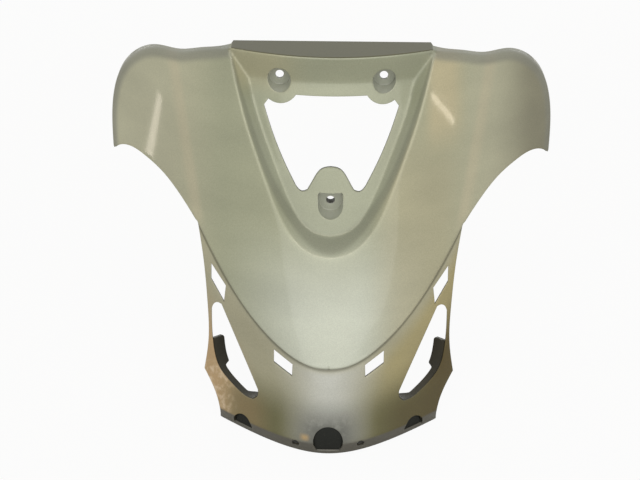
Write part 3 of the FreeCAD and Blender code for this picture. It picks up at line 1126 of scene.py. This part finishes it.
    def skin_shell(self, shell: Shell) -> None:
        """Right half of the moulding: front sheet, back sheet and the profiles that close the wall.

        Args:
            shell: Where it goes.
        """
        at, kinds, faces = self.gather().triangles()
        front = columns(at[:, 0], self.front(at), at[:, 1])
        drawn = self.drawn_in(at)
        back = columns(drawn[:, 0], self.back(drawn), drawn[:, 1])
        back[np.abs(at[:, 0]) < ON_MIDDLE, 0] = 0.0
        sides = np.concatenate([faces[:, [0, 1]], faces[:, [1, 2]], faces[:, [2, 0]]])
        _, first, count = np.unique(np.sort(sides, axis=1), axis=0, return_index=True, return_counts=True)
        rim = sides[first[count == 1]]
        rim = rim[(np.abs(at[rim, 0]) > ON_MIDDLE).any(axis=1)]
        used = np.unique(rim)
        place = np.full(len(at), -1)
        place[used] = np.arange(len(used))
        second, third = self.returns(front[used], back[used], kinds[used])
        fold = second - front[used]
        share = self.fold_row / np.maximum(np.linalg.norm(fold, axis=1, keepdims=True), self.fold_row)
        near = front[used] + np.minimum(share, self.fold_share) * fold
        total, edge = len(at), len(used)
        chain = [rim] + [2 * total + level * edge + place[rim] for level in range(3)] + [rim + total]
        folded = np.isin(kinds[rim], FOLDED).any(axis=1)
        groups = [(faces, Face.PAINTED), (faces[:, ::-1] + total, Face.BARE)]
        for level in range(4):
            quads = np.concatenate([chain[level][:, ::-1], chain[level + 1]], axis=1)
            groups.append((quads[~folded], Face.PAINTED if level < 2 else Face.BARE))
            groups.append((quads[folded], Face.PAINTED if level < 3 else Face.BARE))
        rolled = 1.0 - soft_step(np.abs(self.wing_line.nearest(at)[0]) / self.roll_r)
        pocket = soft_step((self.pocket_mark - np.min(self.pocket_gaps(at), axis=0)) / self.pocket_run)
        marks = columns(rolled, pocket)
        marks = np.concatenate([marks, marks, marks[used], marks[used], marks[used]])
        shell.add(np.concatenate([front, back, near, second, third]), groups, marks)

    def window_return_wall(self, shell: Shell) -> None:
        """Wall behind the window's outer lower edge: a strip square to the skin, deeper at its tab and bump.

        Args:
            shell: Where it goes.
        """
        edge = curve(self.window_low + (self.window_wall_top,), self.window_wall_step)
        outer = beside(edge, -self.wall)
        across, upward = self.skin.slopes(*self.window_low[3])
        way = np.array([-across, 1.0, -upward]) / math.sqrt(1.0 + across ** 2 + upward ** 2)
        x, z = edge.T
        tab = soft_step((z - self.window_tab_z) / self.window_tab_run)
        bump = soft_step((self.window_bump_x - x) / self.window_bump_run)
        depth = self.window_return + (self.window_tab - self.window_return) * tab
        depth = depth + (self.window_bump - self.window_return) * bump
        end = np.sqrt(np.clip((z[-1] + self.window_end_over - z) / self.window_end_run, 0.0, 1.0))
        depth = depth * (1.0 - self.window_end_cut * (1.0 - end))
        rows = []
        lead = self.window_lead
        for points, reach in ((edge, lead), (edge, depth), (outer, depth), (outer, lead)):
            start = columns(points[:, 0], self.base(points), points[:, 1])
            rows.append(start + np.reshape(reach, (-1, 1)) * way)
        count = len(edge)
        first = np.arange(4) * count
        ends = np.stack([first[::-1], np.roll(first, -1) + count - 1])
        quads = ribbon(4, count, True, False)[:, ::-1]
        shell.add(np.concatenate(rows), [(quads, Face.BARE), (ends, Face.BARE)])

    @staticmethod
    def tube_shell(shell: Shell, bore: Bore, rings: tuple[Array, Array], near: Array, end: Array) -> None:
        """Tube with a wall: inner and outer rings carried along a bore from near places to far ones.

        Args:
            shell: Where it goes.
            bore: The bore.
            rings: Sections of the tube's inside and outside.
            near: Where the lines of the tube start along the bore.
            end: Where they end.
        """
        inner, outer = rings
        profile = ((inner, near), (inner, end), (outer, end), (outer, near))
        rows = [bore.place(section, depth) for section, depth in profile]
        shell.add(np.concatenate(rows), [(ribbon(4, len(inner), True, True), Face.BARE)])

    def collar(self, shell: Shell, bore: Bore) -> None:
        """Collar behind a plug hole, with its foot kept inside the lip.

        Args:
            shell: Where it goes.
            bore: The plug's hole.
        """
        inner = flat_ring(bore.radius, bore.floor)
        outer = flat_ring(bore.radius + bore.collar_wall, bore.floor - 0.5 * self.wall)
        near = self.slide(bore, inner) + self.collar_lead
        self.tube_shell(shell, bore, (inner, outer), near, np.maximum(bore.end, near + self.collar_least))

    def screw_tube(self, shell: Shell) -> None:
        """Tube behind the lower screw's seat.

        Args:
            shell: Where it goes.
        """
        end = self.lower_seat + self.wall + self.tube
        bore = Bore(np.array([0.0, 0.0, self.lower_z]), self.screw_r, -self.screw_r, end)
        inner, outer = (ring(0.0, 0.0, radius, self.tube_count) for radius in (self.screw_r, self.tube_r))
        self.tube_shell(shell, bore, (inner, outer), self.lower_seat + 0.5 * self.wall, end)

    def build(self) -> bpy.types.Object:
        """Make the whole panel as one piece that stands for its solid.

        Returns:
            The panel.
        """
        shell = Shell()
        self.skin_shell(shell)
        self.window_return_wall(shell)
        self.collar(shell, self.side_bore())
        shell.mirror()
        self.collar(shell, self.centre_bore())
        self.screw_tube(shell)
        return shell.piece("fairing_panel")


@dataclass
class RubberPlug:
    """Moulded rubber plug: a flat-bottomed stem with a bevelled face and a flange behind the collar."""

    name: str
    node: str
    bore: Bore
    face: float
    lean: float = 0.0
    gap: float = 0.2
    bevel: float = 0.9
    bevel_shares: tuple[float, float] = (0.3, 0.25)
    crown: float = 0.5
    crown_rings: tuple[float, ...] = (0.05, 0.3, 0.55, 0.8, 1.0)
    flange: float = 2.5
    flange_edge: float = 0.4
    flange_floor: float = -1.0
    rear_rings: tuple[float, ...] = (1.0, 0.5, 0.05)

    def ring(self, radius: float, floor: float, depth: float, lean: float, share: float = 1.0) -> Array:
        """Flat-bottomed ring across the bore.

        Args:
            radius: Radius of its arc.
            floor: Height of its flat above the bore's axis.
            depth: Depth along the bore on the axis.
            lean: How much deeper it lies for each millimetre up.
            share: Size that it shrinks to about the middle of its height.

        Returns:
            Points of the ring.
        """
        centre = np.array([0.0, 0.5 * (radius + floor)])
        section = centre + share * (flat_ring(radius, floor) - centre)
        return self.bore.place(section, depth + lean * section[:, 1])

    def build(self) -> bpy.types.Object:
        """Join rings from the crowned face over the bevel, stem and flange to the rear face.

        Returns:
            The plug.
        """
        bore, b, end = self.bore, self.bevel, self.bore.end
        r, floor = bore.radius - self.gap, bore.floor + self.gap
        wide, foot = bore.radius + bore.collar_wall, bore.floor + self.flange_floor
        rear = end + self.flange
        soft = self.flange_edge
        inward, deeper = (share * b for share in self.bevel_shares)
        rows = [(r - b, floor + b, self.face - self.crown * (1.0 - share ** 2), self.lean, share)
                for share in self.crown_rings]
        rows += [(r - inward, floor + inward, self.face + deeper, self.lean),
                 (r, floor, self.face + b, self.lean), (r, floor, end, 0.0),
                 (wide - soft, foot, end, 0.0), (wide, foot, end + soft, 0.0),
                 (wide, foot, rear - soft, 0.0)]
        rows += [(wide - soft, foot, rear, 0.0, share) for share in self.rear_rings]
        rings = [self.ring(*row) for row in rows]
        count = len(rings[0])
        poles = np.stack([rings[0].mean(axis=0), rings[-1].mean(axis=0)])
        first = np.arange(count)
        last = first + (len(rings) - 1) * count
        tip = len(rings) * count
        quads = ribbon(len(rings), count, False, True)[:, ::-1]
        fans = [columns(tip, first, np.roll(first, -1)), columns(tip + 1, np.roll(last, -1), last)]
        shell = Shell()
        shell.add(np.concatenate(rings + [poles]), [(faces, 0) for faces in [quads] + fans])
        return shell.piece(self.name)


def linear(code: str) -> tuple[float, float, float, float]:
    """Linear colour of an sRGB hex code.

    Args:
        code: Six hex digits, such as C9B48C.

    Returns:
        Red, green, blue and a full alpha.
    """
    srgb = np.array([int(code[i:i + 2], 16) for i in (0, 2, 4)]) / 255.0
    rgb = np.where(srgb <= 0.04045, srgb / 12.92, ((srgb + 0.055) / 1.055) ** 2.4)
    return (float(rgb[0]), float(rgb[1]), float(rgb[2]), 1.0)


def add(tree: Tree, kind: str, values: dict | None = None, **settings: object) -> bpy.types.Node:
    """Add a node with its settings, values and links.

    Numbered inputs are Blender's: 0 to 4 of a map range are its value, from limits and to limits, and 0, 6
    and 7 of a colour mix are its share and two colours.

    Args:
        tree: Node tree that gets it.
        kind: Blender's name of the node after its prefix.
        values: Inputs by name or number; a socket or a node's first output is linked, anything else is set.
        settings: Attributes of the node.

    Returns:
        The node.
    """
    node = tree.nodes.new("ShaderNode" + kind)
    for name, value in settings.items():
        setattr(node, name, value)
    for key, value in (values or {}).items():
        source = value.outputs[0] if isinstance(value, bpy.types.Node) else value
        if isinstance(source, Socket):
            tree.links.new(source, node.inputs[key])
        else:
            node.inputs[key].default_value = source
    return node


@dataclass(frozen=True)
class Finish:
    """A finish: a node material whose surface each kind of finish works out."""

    name: str

    def surface(self, tree: Tree, where: Socket) -> bpy.types.Node:
        """Shader of the finish, in object coordinates."""
        raise NotImplementedError

    def build(self) -> bpy.types.Material:
        """Make the material.

        Returns:
            The material, named for the finish.
        """
        material = bpy.data.materials.new(self.name)
        material.use_nodes = True
        tree = material.node_tree
        tree.nodes.clear()
        where = add(tree, "TexCoord").outputs["Object"]
        add(tree, "OutputMaterial", {"Surface": self.surface(tree, where)})
        return material


@dataclass(frozen=True)
class Zone:
    """Soft field of another shade on the paint.

    Each span names a measure and the two values between which the field rises from none to full. The field's
    share is the product of its spans, and a patchy field is broken up by a cloudy pattern.
    """

    shade: str
    spans: tuple[tuple[str, float, float], ...]
    share: float = 1.0
    patchy: bool = False


# Below this span the lower part's zones begin, clear of the wings.
LOWER = ("z", -0.12, -0.135)


@dataclass(frozen=True)
class ChampagnePaint(Finish):
    """Sprayed metallic paint under clear coat on moulded ABS: fine flakes, a sharp gloss over a soft base.

    The zones, laid by place, give the flake paint's pale, olive and tan drift, and with it painted
    highlights, reflections and shade.
    Measures in metres are x, the distance from the middle (wide), the height (z), the drop below the step's
    line, and how far a place lies up inside the recess's rim (sink) and outside the wing's fold (fold). The
    mesh's own marks are 1 at the wing's edge (rolled) and in a screw pocket (pocket), and fade to 0 away
    from there.
    """

    name: str = "champagne_metallic_paint"
    sage: str = "A7A88E"
    zones: tuple[Zone, ...] = (
        # Shield and wings.
        # Painted highlight: the pale lower middle of the shield.
        Zone("CBCEC0", (("z", -0.10, -0.20), ("wide", 0.125, 0.02))),
        Zone("BDB292", (("x", 0.03, 0.075), ("z", 0.03, -0.10), ("wide", 0.15, 0.11)), 0.5),
        Zone("BDBAA0", (("wide", 0.10, 0.16),)),
        Zone("847F68", (("x", 0.16, 0.215),), 0.85),
        # Painted highlight: a soft band along the wing's fold.
        Zone("CBC0A4", (("fold", -0.009, -0.001), ("fold", 0.012, 0.001), ("z", -0.14, -0.12)), 0.5),
        # Painted highlight beside the recess's upper right edge.
        Zone("C6B996", (("x", 0.088, 0.104), ("x", 0.14, 0.116), ("z", -0.07, -0.03)), 0.8),
        # Painted shade: a darker band round the wing's rolled edge.
        Zone("8B8A7E", (("rolled", 0.15, 0.85),), 0.75),
        # Recess with its wall, upper left corner and pockets, and the deck.
        # Painted shade: the recess floor a little darker.
        Zone("A4A791", (("sink", 0.0, 0.01),), 0.7),
        Zone("BDB490", (("x", -0.015, -0.065), ("z", -0.02, 0.005), ("sink", 0.0, 0.01)), 0.5),
        # Painted shade: darker on the recess's wall.
        Zone("7E7F6C", (("sink", -0.001, 0.004), ("sink", 0.015, 0.009)), 0.5),
        # Painted light: paler in the screw pockets.
        Zone("C6C8BE", (("pocket", 0.0, 1.0),), 0.7),
        # Painted dark reflection on the up-facing deck.
        Zone("55502C", (("z", 0.0253, 0.0258), ("wide", 0.112, 0.1))),
        # Lower part: its ground, the right side, the outer corners, the pale middle and the darker foot.
        Zone("B1AC93", (("drop", -0.002, 0.006), LOWER)),
        Zone("B1A57A", (("drop", 0.0, 0.03), LOWER, ("x", 0.02, 0.07))),
        # Painted warm reflection at the lower left corner.
        Zone("C4A57C", (("drop", 0.03, 0.10), LOWER, ("x", -0.06, -0.105))),
        # Painted shade at the lower right corner.
        Zone("5C4C1C", (("drop", 0.035, 0.10), LOWER, ("x", 0.03, 0.1))),
        # Painted highlight: the pale middle below the step.
        Zone("C2C2BB", (("drop", 0.0, 0.008), LOWER, ("wide", 0.062, 0.0))),
        # Painted shade: the foot darker towards the crease, across the middle and at both sides.
        Zone("6E6B46", (("z", -0.245, -0.298), ("wide", 0.01, 0.055), ("wide", 0.12, 0.075))),
        Zone("8E7A54", (("z", -0.268, -0.296), ("x", -0.05, -0.08), ("x", -0.105, -0.085)), 0.8),
        Zone("5A4E28", (("z", -0.265, -0.296), ("x", 0.035, 0.08)), 0.8),
        Zone("70706A", (("z", -0.266, -0.300), ("wide", 0.05, 0.01))),
        # Painted warm reflection in patches at the lower left; wear: dust over the centre plug and a chip
        # beside it.
        Zone("EBD5B8", (("z", -0.262, -0.272), ("x", -0.09, -0.106)), 0.7, True),
        Zone("C2C2BA", (("z", -0.284, -0.292), ("z", -0.306, -0.3), ("wide", 0.026, 0.018)), 0.22, True),
        Zone("C4A676", (("x", -0.0295, -0.0235), ("x", -0.0165, -0.0225), ("z", -0.3015, -0.306),
                        ("z", -0.311, -0.3065)), 0.9),
        # Painted shade in the step's line and on the down-facing lip.
        Zone("5A5540", (("drop", -0.001, 0.0012), ("drop", 0.005, 0.002), LOWER), 0.6),
        Zone("64615A", (("z", -0.3095, -0.3125),)),
    )
    rim_foot: float = -0.144
    rim_rise: float = 15.5
    fold_x: float = 0.159
    fold_lean: float = 0.217
    step_foot: float = -0.242
    step_rise: float = 6.28
    # Real flakes are far finer. They are drawn this coarse so that their speckle shows in the render.
    flake_mm: float = 1.1
    flake_gain: float = 0.07
    patch_mm: float = 7.0
    patch_range: tuple[float, float] = (0.46, 0.68)
    drift_mm: float = 66.6667
    drift_gain: float = 0.09
    drift_stretch: Place = (0.5, 0.5, 1.4)
    peel_mm: float = 3.84615
    peel_strength: float = 0.05
    peel_depth: float = 0.0004
    roughness: float = 0.48
    metallic: float = 0.3
    coat: float = 0.9
    coat_roughness: float = 0.06
    coat_ior: float = 1.5

    def measures(self, tree: Tree, where: Socket) -> dict[str, bpy.types.Node | Socket]:
        """Measures that the zones name.

        The step's line and the recess's rim are parabolas, whose height is a foot plus a rise times the
        square of x, and the fold is a leaning straight line.

        Args:
            tree: Node tree that gets the nodes.
            where: Object coordinates.

        Returns:
            Each measure by its name.
        """
        axes = add(tree, "SeparateXYZ", {"Vector": where})
        x, z = axes.outputs["X"], axes.outputs["Z"]
        wide = add(tree, "Math", {0: x}, operation="ABSOLUTE")
        square = add(tree, "Math", {0: x, 1: x}, operation="MULTIPLY")
        step = add(tree, "Math", {0: square, 1: self.step_rise, 2: self.step_foot}, operation="MULTIPLY_ADD")
        rim = add(tree, "Math", {0: square, 1: self.rim_rise, 2: self.rim_foot}, operation="MULTIPLY_ADD")
        crest = add(tree, "Math", {0: z, 1: self.fold_lean, 2: self.fold_x}, operation="MULTIPLY_ADD")
        found = {"x": x, "z": z, "wide": wide}
        for name, more, less in (("drop", step, z), ("sink", z, rim), ("fold", wide, crest)):
            found[name] = add(tree, "Math", {0: more, 1: less}, operation="SUBTRACT")
        for mark in MARKS:
            found[mark] = add(tree, "Attribute", attribute_name=mark).outputs["Fac"]
        return found

    def shade(self, tree: Tree, where: Socket) -> Socket:
        """Colour of the paint: the sage ground with each zone laid over it, painted highlights, reflections
        and shade among them.

        Args:
            tree: Node tree that gets the nodes.
            where: Object coordinates.

        Returns:
            Socket with the colour.
        """
        found = self.measures(tree, where)
        cloud = add(tree, "TexNoise", {"Vector": where, "Scale": 1000.0 / self.patch_mm, "Detail": 3.0})
        patch = add(tree, "MapRange", {0: cloud, 1: self.patch_range[0], 2: self.patch_range[1]})
        colour = linear(self.sage)
        for zone in self.zones:
            factors = [patch] if zone.patchy else []
            for measure, start, end in zone.spans:
                span = {0: found[measure], 1: start, 2: end}
                factors.append(add(tree, "MapRange", span, interpolation_type="SMOOTHSTEP"))
            share = zone.share
            for factor in factors:
                share = add(tree, "Math", {0: factor, 1: share}, operation="MULTIPLY")
            mixed = {0: share, 6: colour, 7: linear(zone.shade)}
            colour = add(tree, "Mix", mixed, data_type="RGBA").outputs[2]
        return colour

    def surface(self, tree: Tree, where: Socket) -> bpy.types.Node:
        """The zoned colour with its painted light and shade, flakes, faint sideways clouds and orange peel,
        under a glossy coat.

        Args:
            tree: Node tree that gets the nodes.
            where: Object coordinates.

        Returns:
            The shader.
        """
        drawn = add(tree, "VectorMath", {0: where, 1: self.drift_stretch}, operation="MULTIPLY")
        flakes = add(tree, "TexNoise", {"Vector": where, "Scale": 1000.0 / self.flake_mm, "Detail": 2.0})
        cloud = add(tree, "TexNoise", {"Vector": drawn, "Scale": 1000.0 / self.drift_mm, "Detail": 3.0})
        gains = [add(tree, "MapRange", {0: noise, 1: NOISE_LOW, 2: NOISE_HIGH, 3: 1.0 - gain, 4: 1.0 + gain})
                 for noise, gain in ((flakes, self.flake_gain), (cloud, self.drift_gain))]
        both = add(tree, "Math", {0: gains[0], 1: gains[1]}, operation="MULTIPLY")
        tint = add(tree, "VectorMath", {0: self.shade(tree, where), 3: both}, operation="SCALE")
        peel = add(tree, "TexNoise", {"Vector": where, "Scale": 1000.0 / self.peel_mm, "Detail": 1.0})
        bump = add(tree, "Bump", {
            "Height": peel, "Strength": self.peel_strength, "Distance": self.peel_depth})
        return add(tree, "BsdfPrincipled", {
            "Base Color": tint, "Roughness": self.roughness, "Metallic": self.metallic, "Normal": bump,
            "Coat Weight": self.coat, "Coat Roughness": self.coat_roughness, "Coat IOR": self.coat_ior})


@dataclass(frozen=True)
class BarePlastic(Finish):
    """Moulded ABS left bare behind the paint: dark and dull, with drifts of overspray and a fine grain."""

    name: str = "bare_moulded_plastic"
    shade: str = "3B382F"
    overspray: str = "5A5340"
    overspray_mm: float = 28.5714
    overspray_range: tuple[float, float] = (0.4, 0.75)
    overspray_share: float = 0.4
    grain_mm: float = 0.8
    grain_strength: float = 0.25
    grain_depth: float = 0.0003
    roughness: float = 0.55
    specular: float = 0.4

    def surface(self, tree: Tree, where: Socket) -> bpy.types.Node:
        """Dark plastic with dull overspray in clouds and a fine grain.

        Args:
            tree: Node tree that gets the nodes.
            where: Object coordinates.

        Returns:
            The shader.
        """
        cloud = add(tree, "TexNoise", {"Vector": where, "Scale": 1000.0 / self.overspray_mm, "Detail": 4.0})
        low, high = self.overspray_range
        share = add(tree, "MapRange", {0: cloud, 1: low, 2: high, 4: self.overspray_share})
        mixed = {0: share, 6: linear(self.shade), 7: linear(self.overspray)}
        tint = add(tree, "Mix", mixed, data_type="RGBA")
        grain = add(tree, "TexNoise", {"Vector": where, "Scale": 1000.0 / self.grain_mm, "Detail": 2.0})
        bump = add(tree, "Bump", {
            "Height": grain, "Strength": self.grain_strength, "Distance": self.grain_depth})
        return add(tree, "BsdfPrincipled", {"Base Color": tint.outputs[2], "Roughness": self.roughness,
                                            "Specular IOR Level": self.specular, "Normal": bump})


@dataclass(frozen=True)
class BlackRubber(Finish):
    """Moulded EPDM rubber: near black and matt, with pale specks of dust lodged on it."""

    name: str = "moulded_black_rubber"
    shade: str = "1D1F1C"
    dust: str = "8C887C"
    dust_mm: float = 5.55556
    dust_range: tuple[float, float] = (0.5, 0.7)
    speck_mm: float = 1.6
    speck_range: tuple[float, float] = (0.06, 0.16)
    speck_share: float = 0.7
    dent_strength: float = 0.2
    dent_depth: float = 0.0005
    roughness: float = 0.6
    specular: float = 0.35

    def surface(self, tree: Tree, where: Socket) -> bpy.types.Node:
        """Matt black with scattered specks of dust.

        Args:
            tree: Node tree that gets the nodes.
            where: Object coordinates.

        Returns:
            The shader.
        """
        specks = add(tree, "TexVoronoi", {"Vector": where, "Scale": 1000.0 / self.speck_mm})
        low, high = self.speck_range
        dots = add(tree, "MapRange", {
            0: specks.outputs["Distance"], 1: low, 2: high, 3: self.speck_share, 4: 0.0})
        cloud = add(tree, "TexNoise", {"Vector": where, "Scale": 1000.0 / self.dust_mm, "Detail": 3.0})
        some = add(tree, "MapRange", {0: cloud, 1: self.dust_range[0], 2: self.dust_range[1]})
        share = add(tree, "Math", {0: dots, 1: some}, operation="MULTIPLY")
        tint = add(tree, "Mix", {0: share, 6: linear(self.shade), 7: linear(self.dust)}, data_type="RGBA")
        bump = add(tree, "Bump", {
            "Height": cloud, "Strength": self.dent_strength, "Distance": self.dent_depth})
        return add(tree, "BsdfPrincipled", {"Base Color": tint.outputs[2], "Roughness": self.roughness,
                                            "Specular IOR Level": self.specular, "Normal": bump})


@dataclass(frozen=True)
class PaleSweep(Finish):
    """Matt white paper sweep that looks nearly white to the camera and keeps a faint shadow."""

    name: str = "pale_paper_sweep"
    shade: str = "CFCDC8"
    white: float = 0.94

    def surface(self, tree: Tree, where: Socket) -> bpy.types.Node:
        """Matt paper, with plain white mixed in where the camera sees it.

        Args:
            tree: Node tree that gets the nodes.
            where: Object coordinates, which plain paper doesn't need.

        Returns:
            The shader.
        """
        path = add(tree, "LightPath")
        paper = add(tree, "BsdfDiffuse", {"Color": linear(self.shade)})
        glow = add(tree, "Emission", {"Color": linear("FFFFFF"), "Strength": 1.0})
        share = add(tree, "Math", {0: path.outputs["Is Camera Ray"], 1: self.white}, operation="MULTIPLY")
        return add(tree, "MixShader", {0: share, 1: paper, 2: glow})


@dataclass(frozen=True)
class Lamp:
    """Rectangular soft lamp: its place and size in metres, power in watts, colour and turn about its axis."""

    name: str
    place: Place
    size: tuple[float, float]
    power: float
    tint: str
    roll: float = 0.0

    def build(self, target: Place) -> None:
        """Make the lamp, facing a target.

        Args:
            target: Point that it faces.
        """
        data = bpy.data.lights.new(self.name, "AREA")
        data.shape = "RECTANGLE"
        data.size, data.size_y = self.size
        data.energy = self.power
        data.color = linear(self.tint)[:3]
        turn = (Vector(target) - Vector(self.place)).to_track_quat("-Z", "Y").to_matrix().to_4x4()
        turn = turn @ Matrix.Rotation(math.radians(self.roll), 4, "Z")
        linked(self.name, data).matrix_world = Matrix.Translation(Vector(self.place)) @ turn


@dataclass
class Studio:
    """Floor, soft lamps, plain surroundings and the camera at the photograph's viewing angle."""

    target: Place = (0.0, -0.1137, -0.134)
    elevation: float = 28.0
    distance: float = 1.4
    focal_px: float = 1443.3
    size_px: tuple[float, float] = (640.0, 480.0)
    centre_px: tuple[float, float] = (330.0, 247.0)
    sensor_mm: float = 36.0
    roll: float = 0.6
    floor_z: float = -0.3236
    floor_half: float = 6.0
    floor_count: int = 13
    sky: str = "E6E8E4"
    sky_strength: float = 0.72
    lamps: tuple[Lamp, ...] = (
        Lamp("front_soft", (0.2, -2.2, 1.5), (3.4, 2.4), 23.5, "FFFEFA"),
        Lamp("top_strip", (0.0, -1.1, 1.9), (2.2, 0.22), 6.5, "FFF6E4"),
        Lamp("left_window", (-2.17, 0.2, 0.05), (0.05, 0.25), 0.2, "FFF2E2"),
        Lamp("right_window", (1.68, -0.95, 0.805), (0.018, 0.3), 0.22, "FFF2DC", 45.0),
        Lamp("back_fill", (0.0, 2.0, -0.12), (1.6, 0.35), 9.0, "FFFEFA"),
    )

    def camera(self) -> None:
        """Camera on the object's middle plane, tilted down, with the photograph's small roll and shift."""
        width, height = self.size_px
        data = bpy.data.cameras.new("camera")
        data.sensor_width = self.sensor_mm
        data.lens = self.sensor_mm * self.focal_px / width
        data.shift_x = (0.5 * width - self.centre_px[0]) / width
        data.shift_y = (self.centre_px[1] - 0.5 * height) / width
        camera = linked("camera", data)
        tilt = math.radians(self.elevation)
        place = Vector(self.target) + self.distance * Vector((0.0, -math.cos(tilt), math.sin(tilt)))
        turn = Matrix.Rotation(0.5 * math.pi - tilt, 4, "X")
        turn = turn @ Matrix.Rotation(math.radians(self.roll), 4, "Z")
        camera.matrix_world = Matrix.Translation(place) @ turn
        bpy.context.scene.camera = camera

    def floor(self) -> None:
        """Large level sheet under the object: a grid of places at one height."""
        side = np.linspace(-self.floor_half, self.floor_half, self.floor_count)
        points = columns(*np.meshgrid(side, side), self.floor_z).reshape(-1, 3)
        quads = ribbon(self.floor_count, self.floor_count, False, False)
        mesh = bpy.data.meshes.new("floor")
        mesh.from_pydata(points.tolist(), [], quads.tolist())
        mesh.materials.append(PaleSweep().build())
        floor = linked("floor", mesh)

    def surroundings(self) -> None:
        """Plain grey surroundings that look white to the camera."""
        world = bpy.data.worlds.new("surroundings")
        world.use_nodes = True
        tree = world.node_tree
        tree.nodes.clear()
        path = add(tree, "LightPath")
        soft = add(tree, "Background", {"Color": linear(self.sky), "Strength": self.sky_strength})
        white = add(tree, "Background", {"Color": linear("FFFFFF"), "Strength": 1.0})
        mixed = add(tree, "MixShader", {0: path.outputs["Is Camera Ray"], 1: soft, 2: white})
        add(tree, "OutputWorld", {"Surface": mixed})
        bpy.context.scene.world = world

    def build(self) -> None:
        """Set the whole stage."""
        bpy.context.scene.view_settings.view_transform = "Standard"
        self.surroundings()
        self.floor()
        for lamp in self.lamps:
            lamp.build(self.target)
        self.camera()


def dress(piece: bpy.types.Object, finishes: Sequence[Finish], node: str) -> None:
    """Give a piece its finishes, hang it under the root body and hide the solid that it stands for.

    Args:
        piece: The piece.
        finishes: Finishes by number.
        node: Solid that it stands for.
    """
    for finish in finishes:
        piece.data.materials.append(bpy.data.materials.get(finish.name) or finish.build())
    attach(piece, "root")
    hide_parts(node)
    log.info("%s: %d faces for %s", piece.name, len(piece.data.polygons), node)


def main() -> None:
    """Build the panel, its plugs and the stage."""
    logging.basicConfig(level=logging.INFO, format="%(name)s: %(message)s")
    panel = FrontPanel()
    dress(panel.build(), [ChampagnePaint(), BarePlastic()], "front_panel")
    right = panel.side_bore()
    plugs = [
        RubberPlug("plug_centre", "centre_plug", panel.centre_bore(), face=9.3, lean=0.21),
        RubberPlug("plug_right", "right_plug", right, face=3.4),
        RubberPlug("plug_left", "left_plug", right.mirrored(), face=3.4),
    ]
    for plug in plugs:
        dress(plug.build(), [BlackRubber()], plug.node)
    Studio().build()


if __name__ == "__main__":
    main()
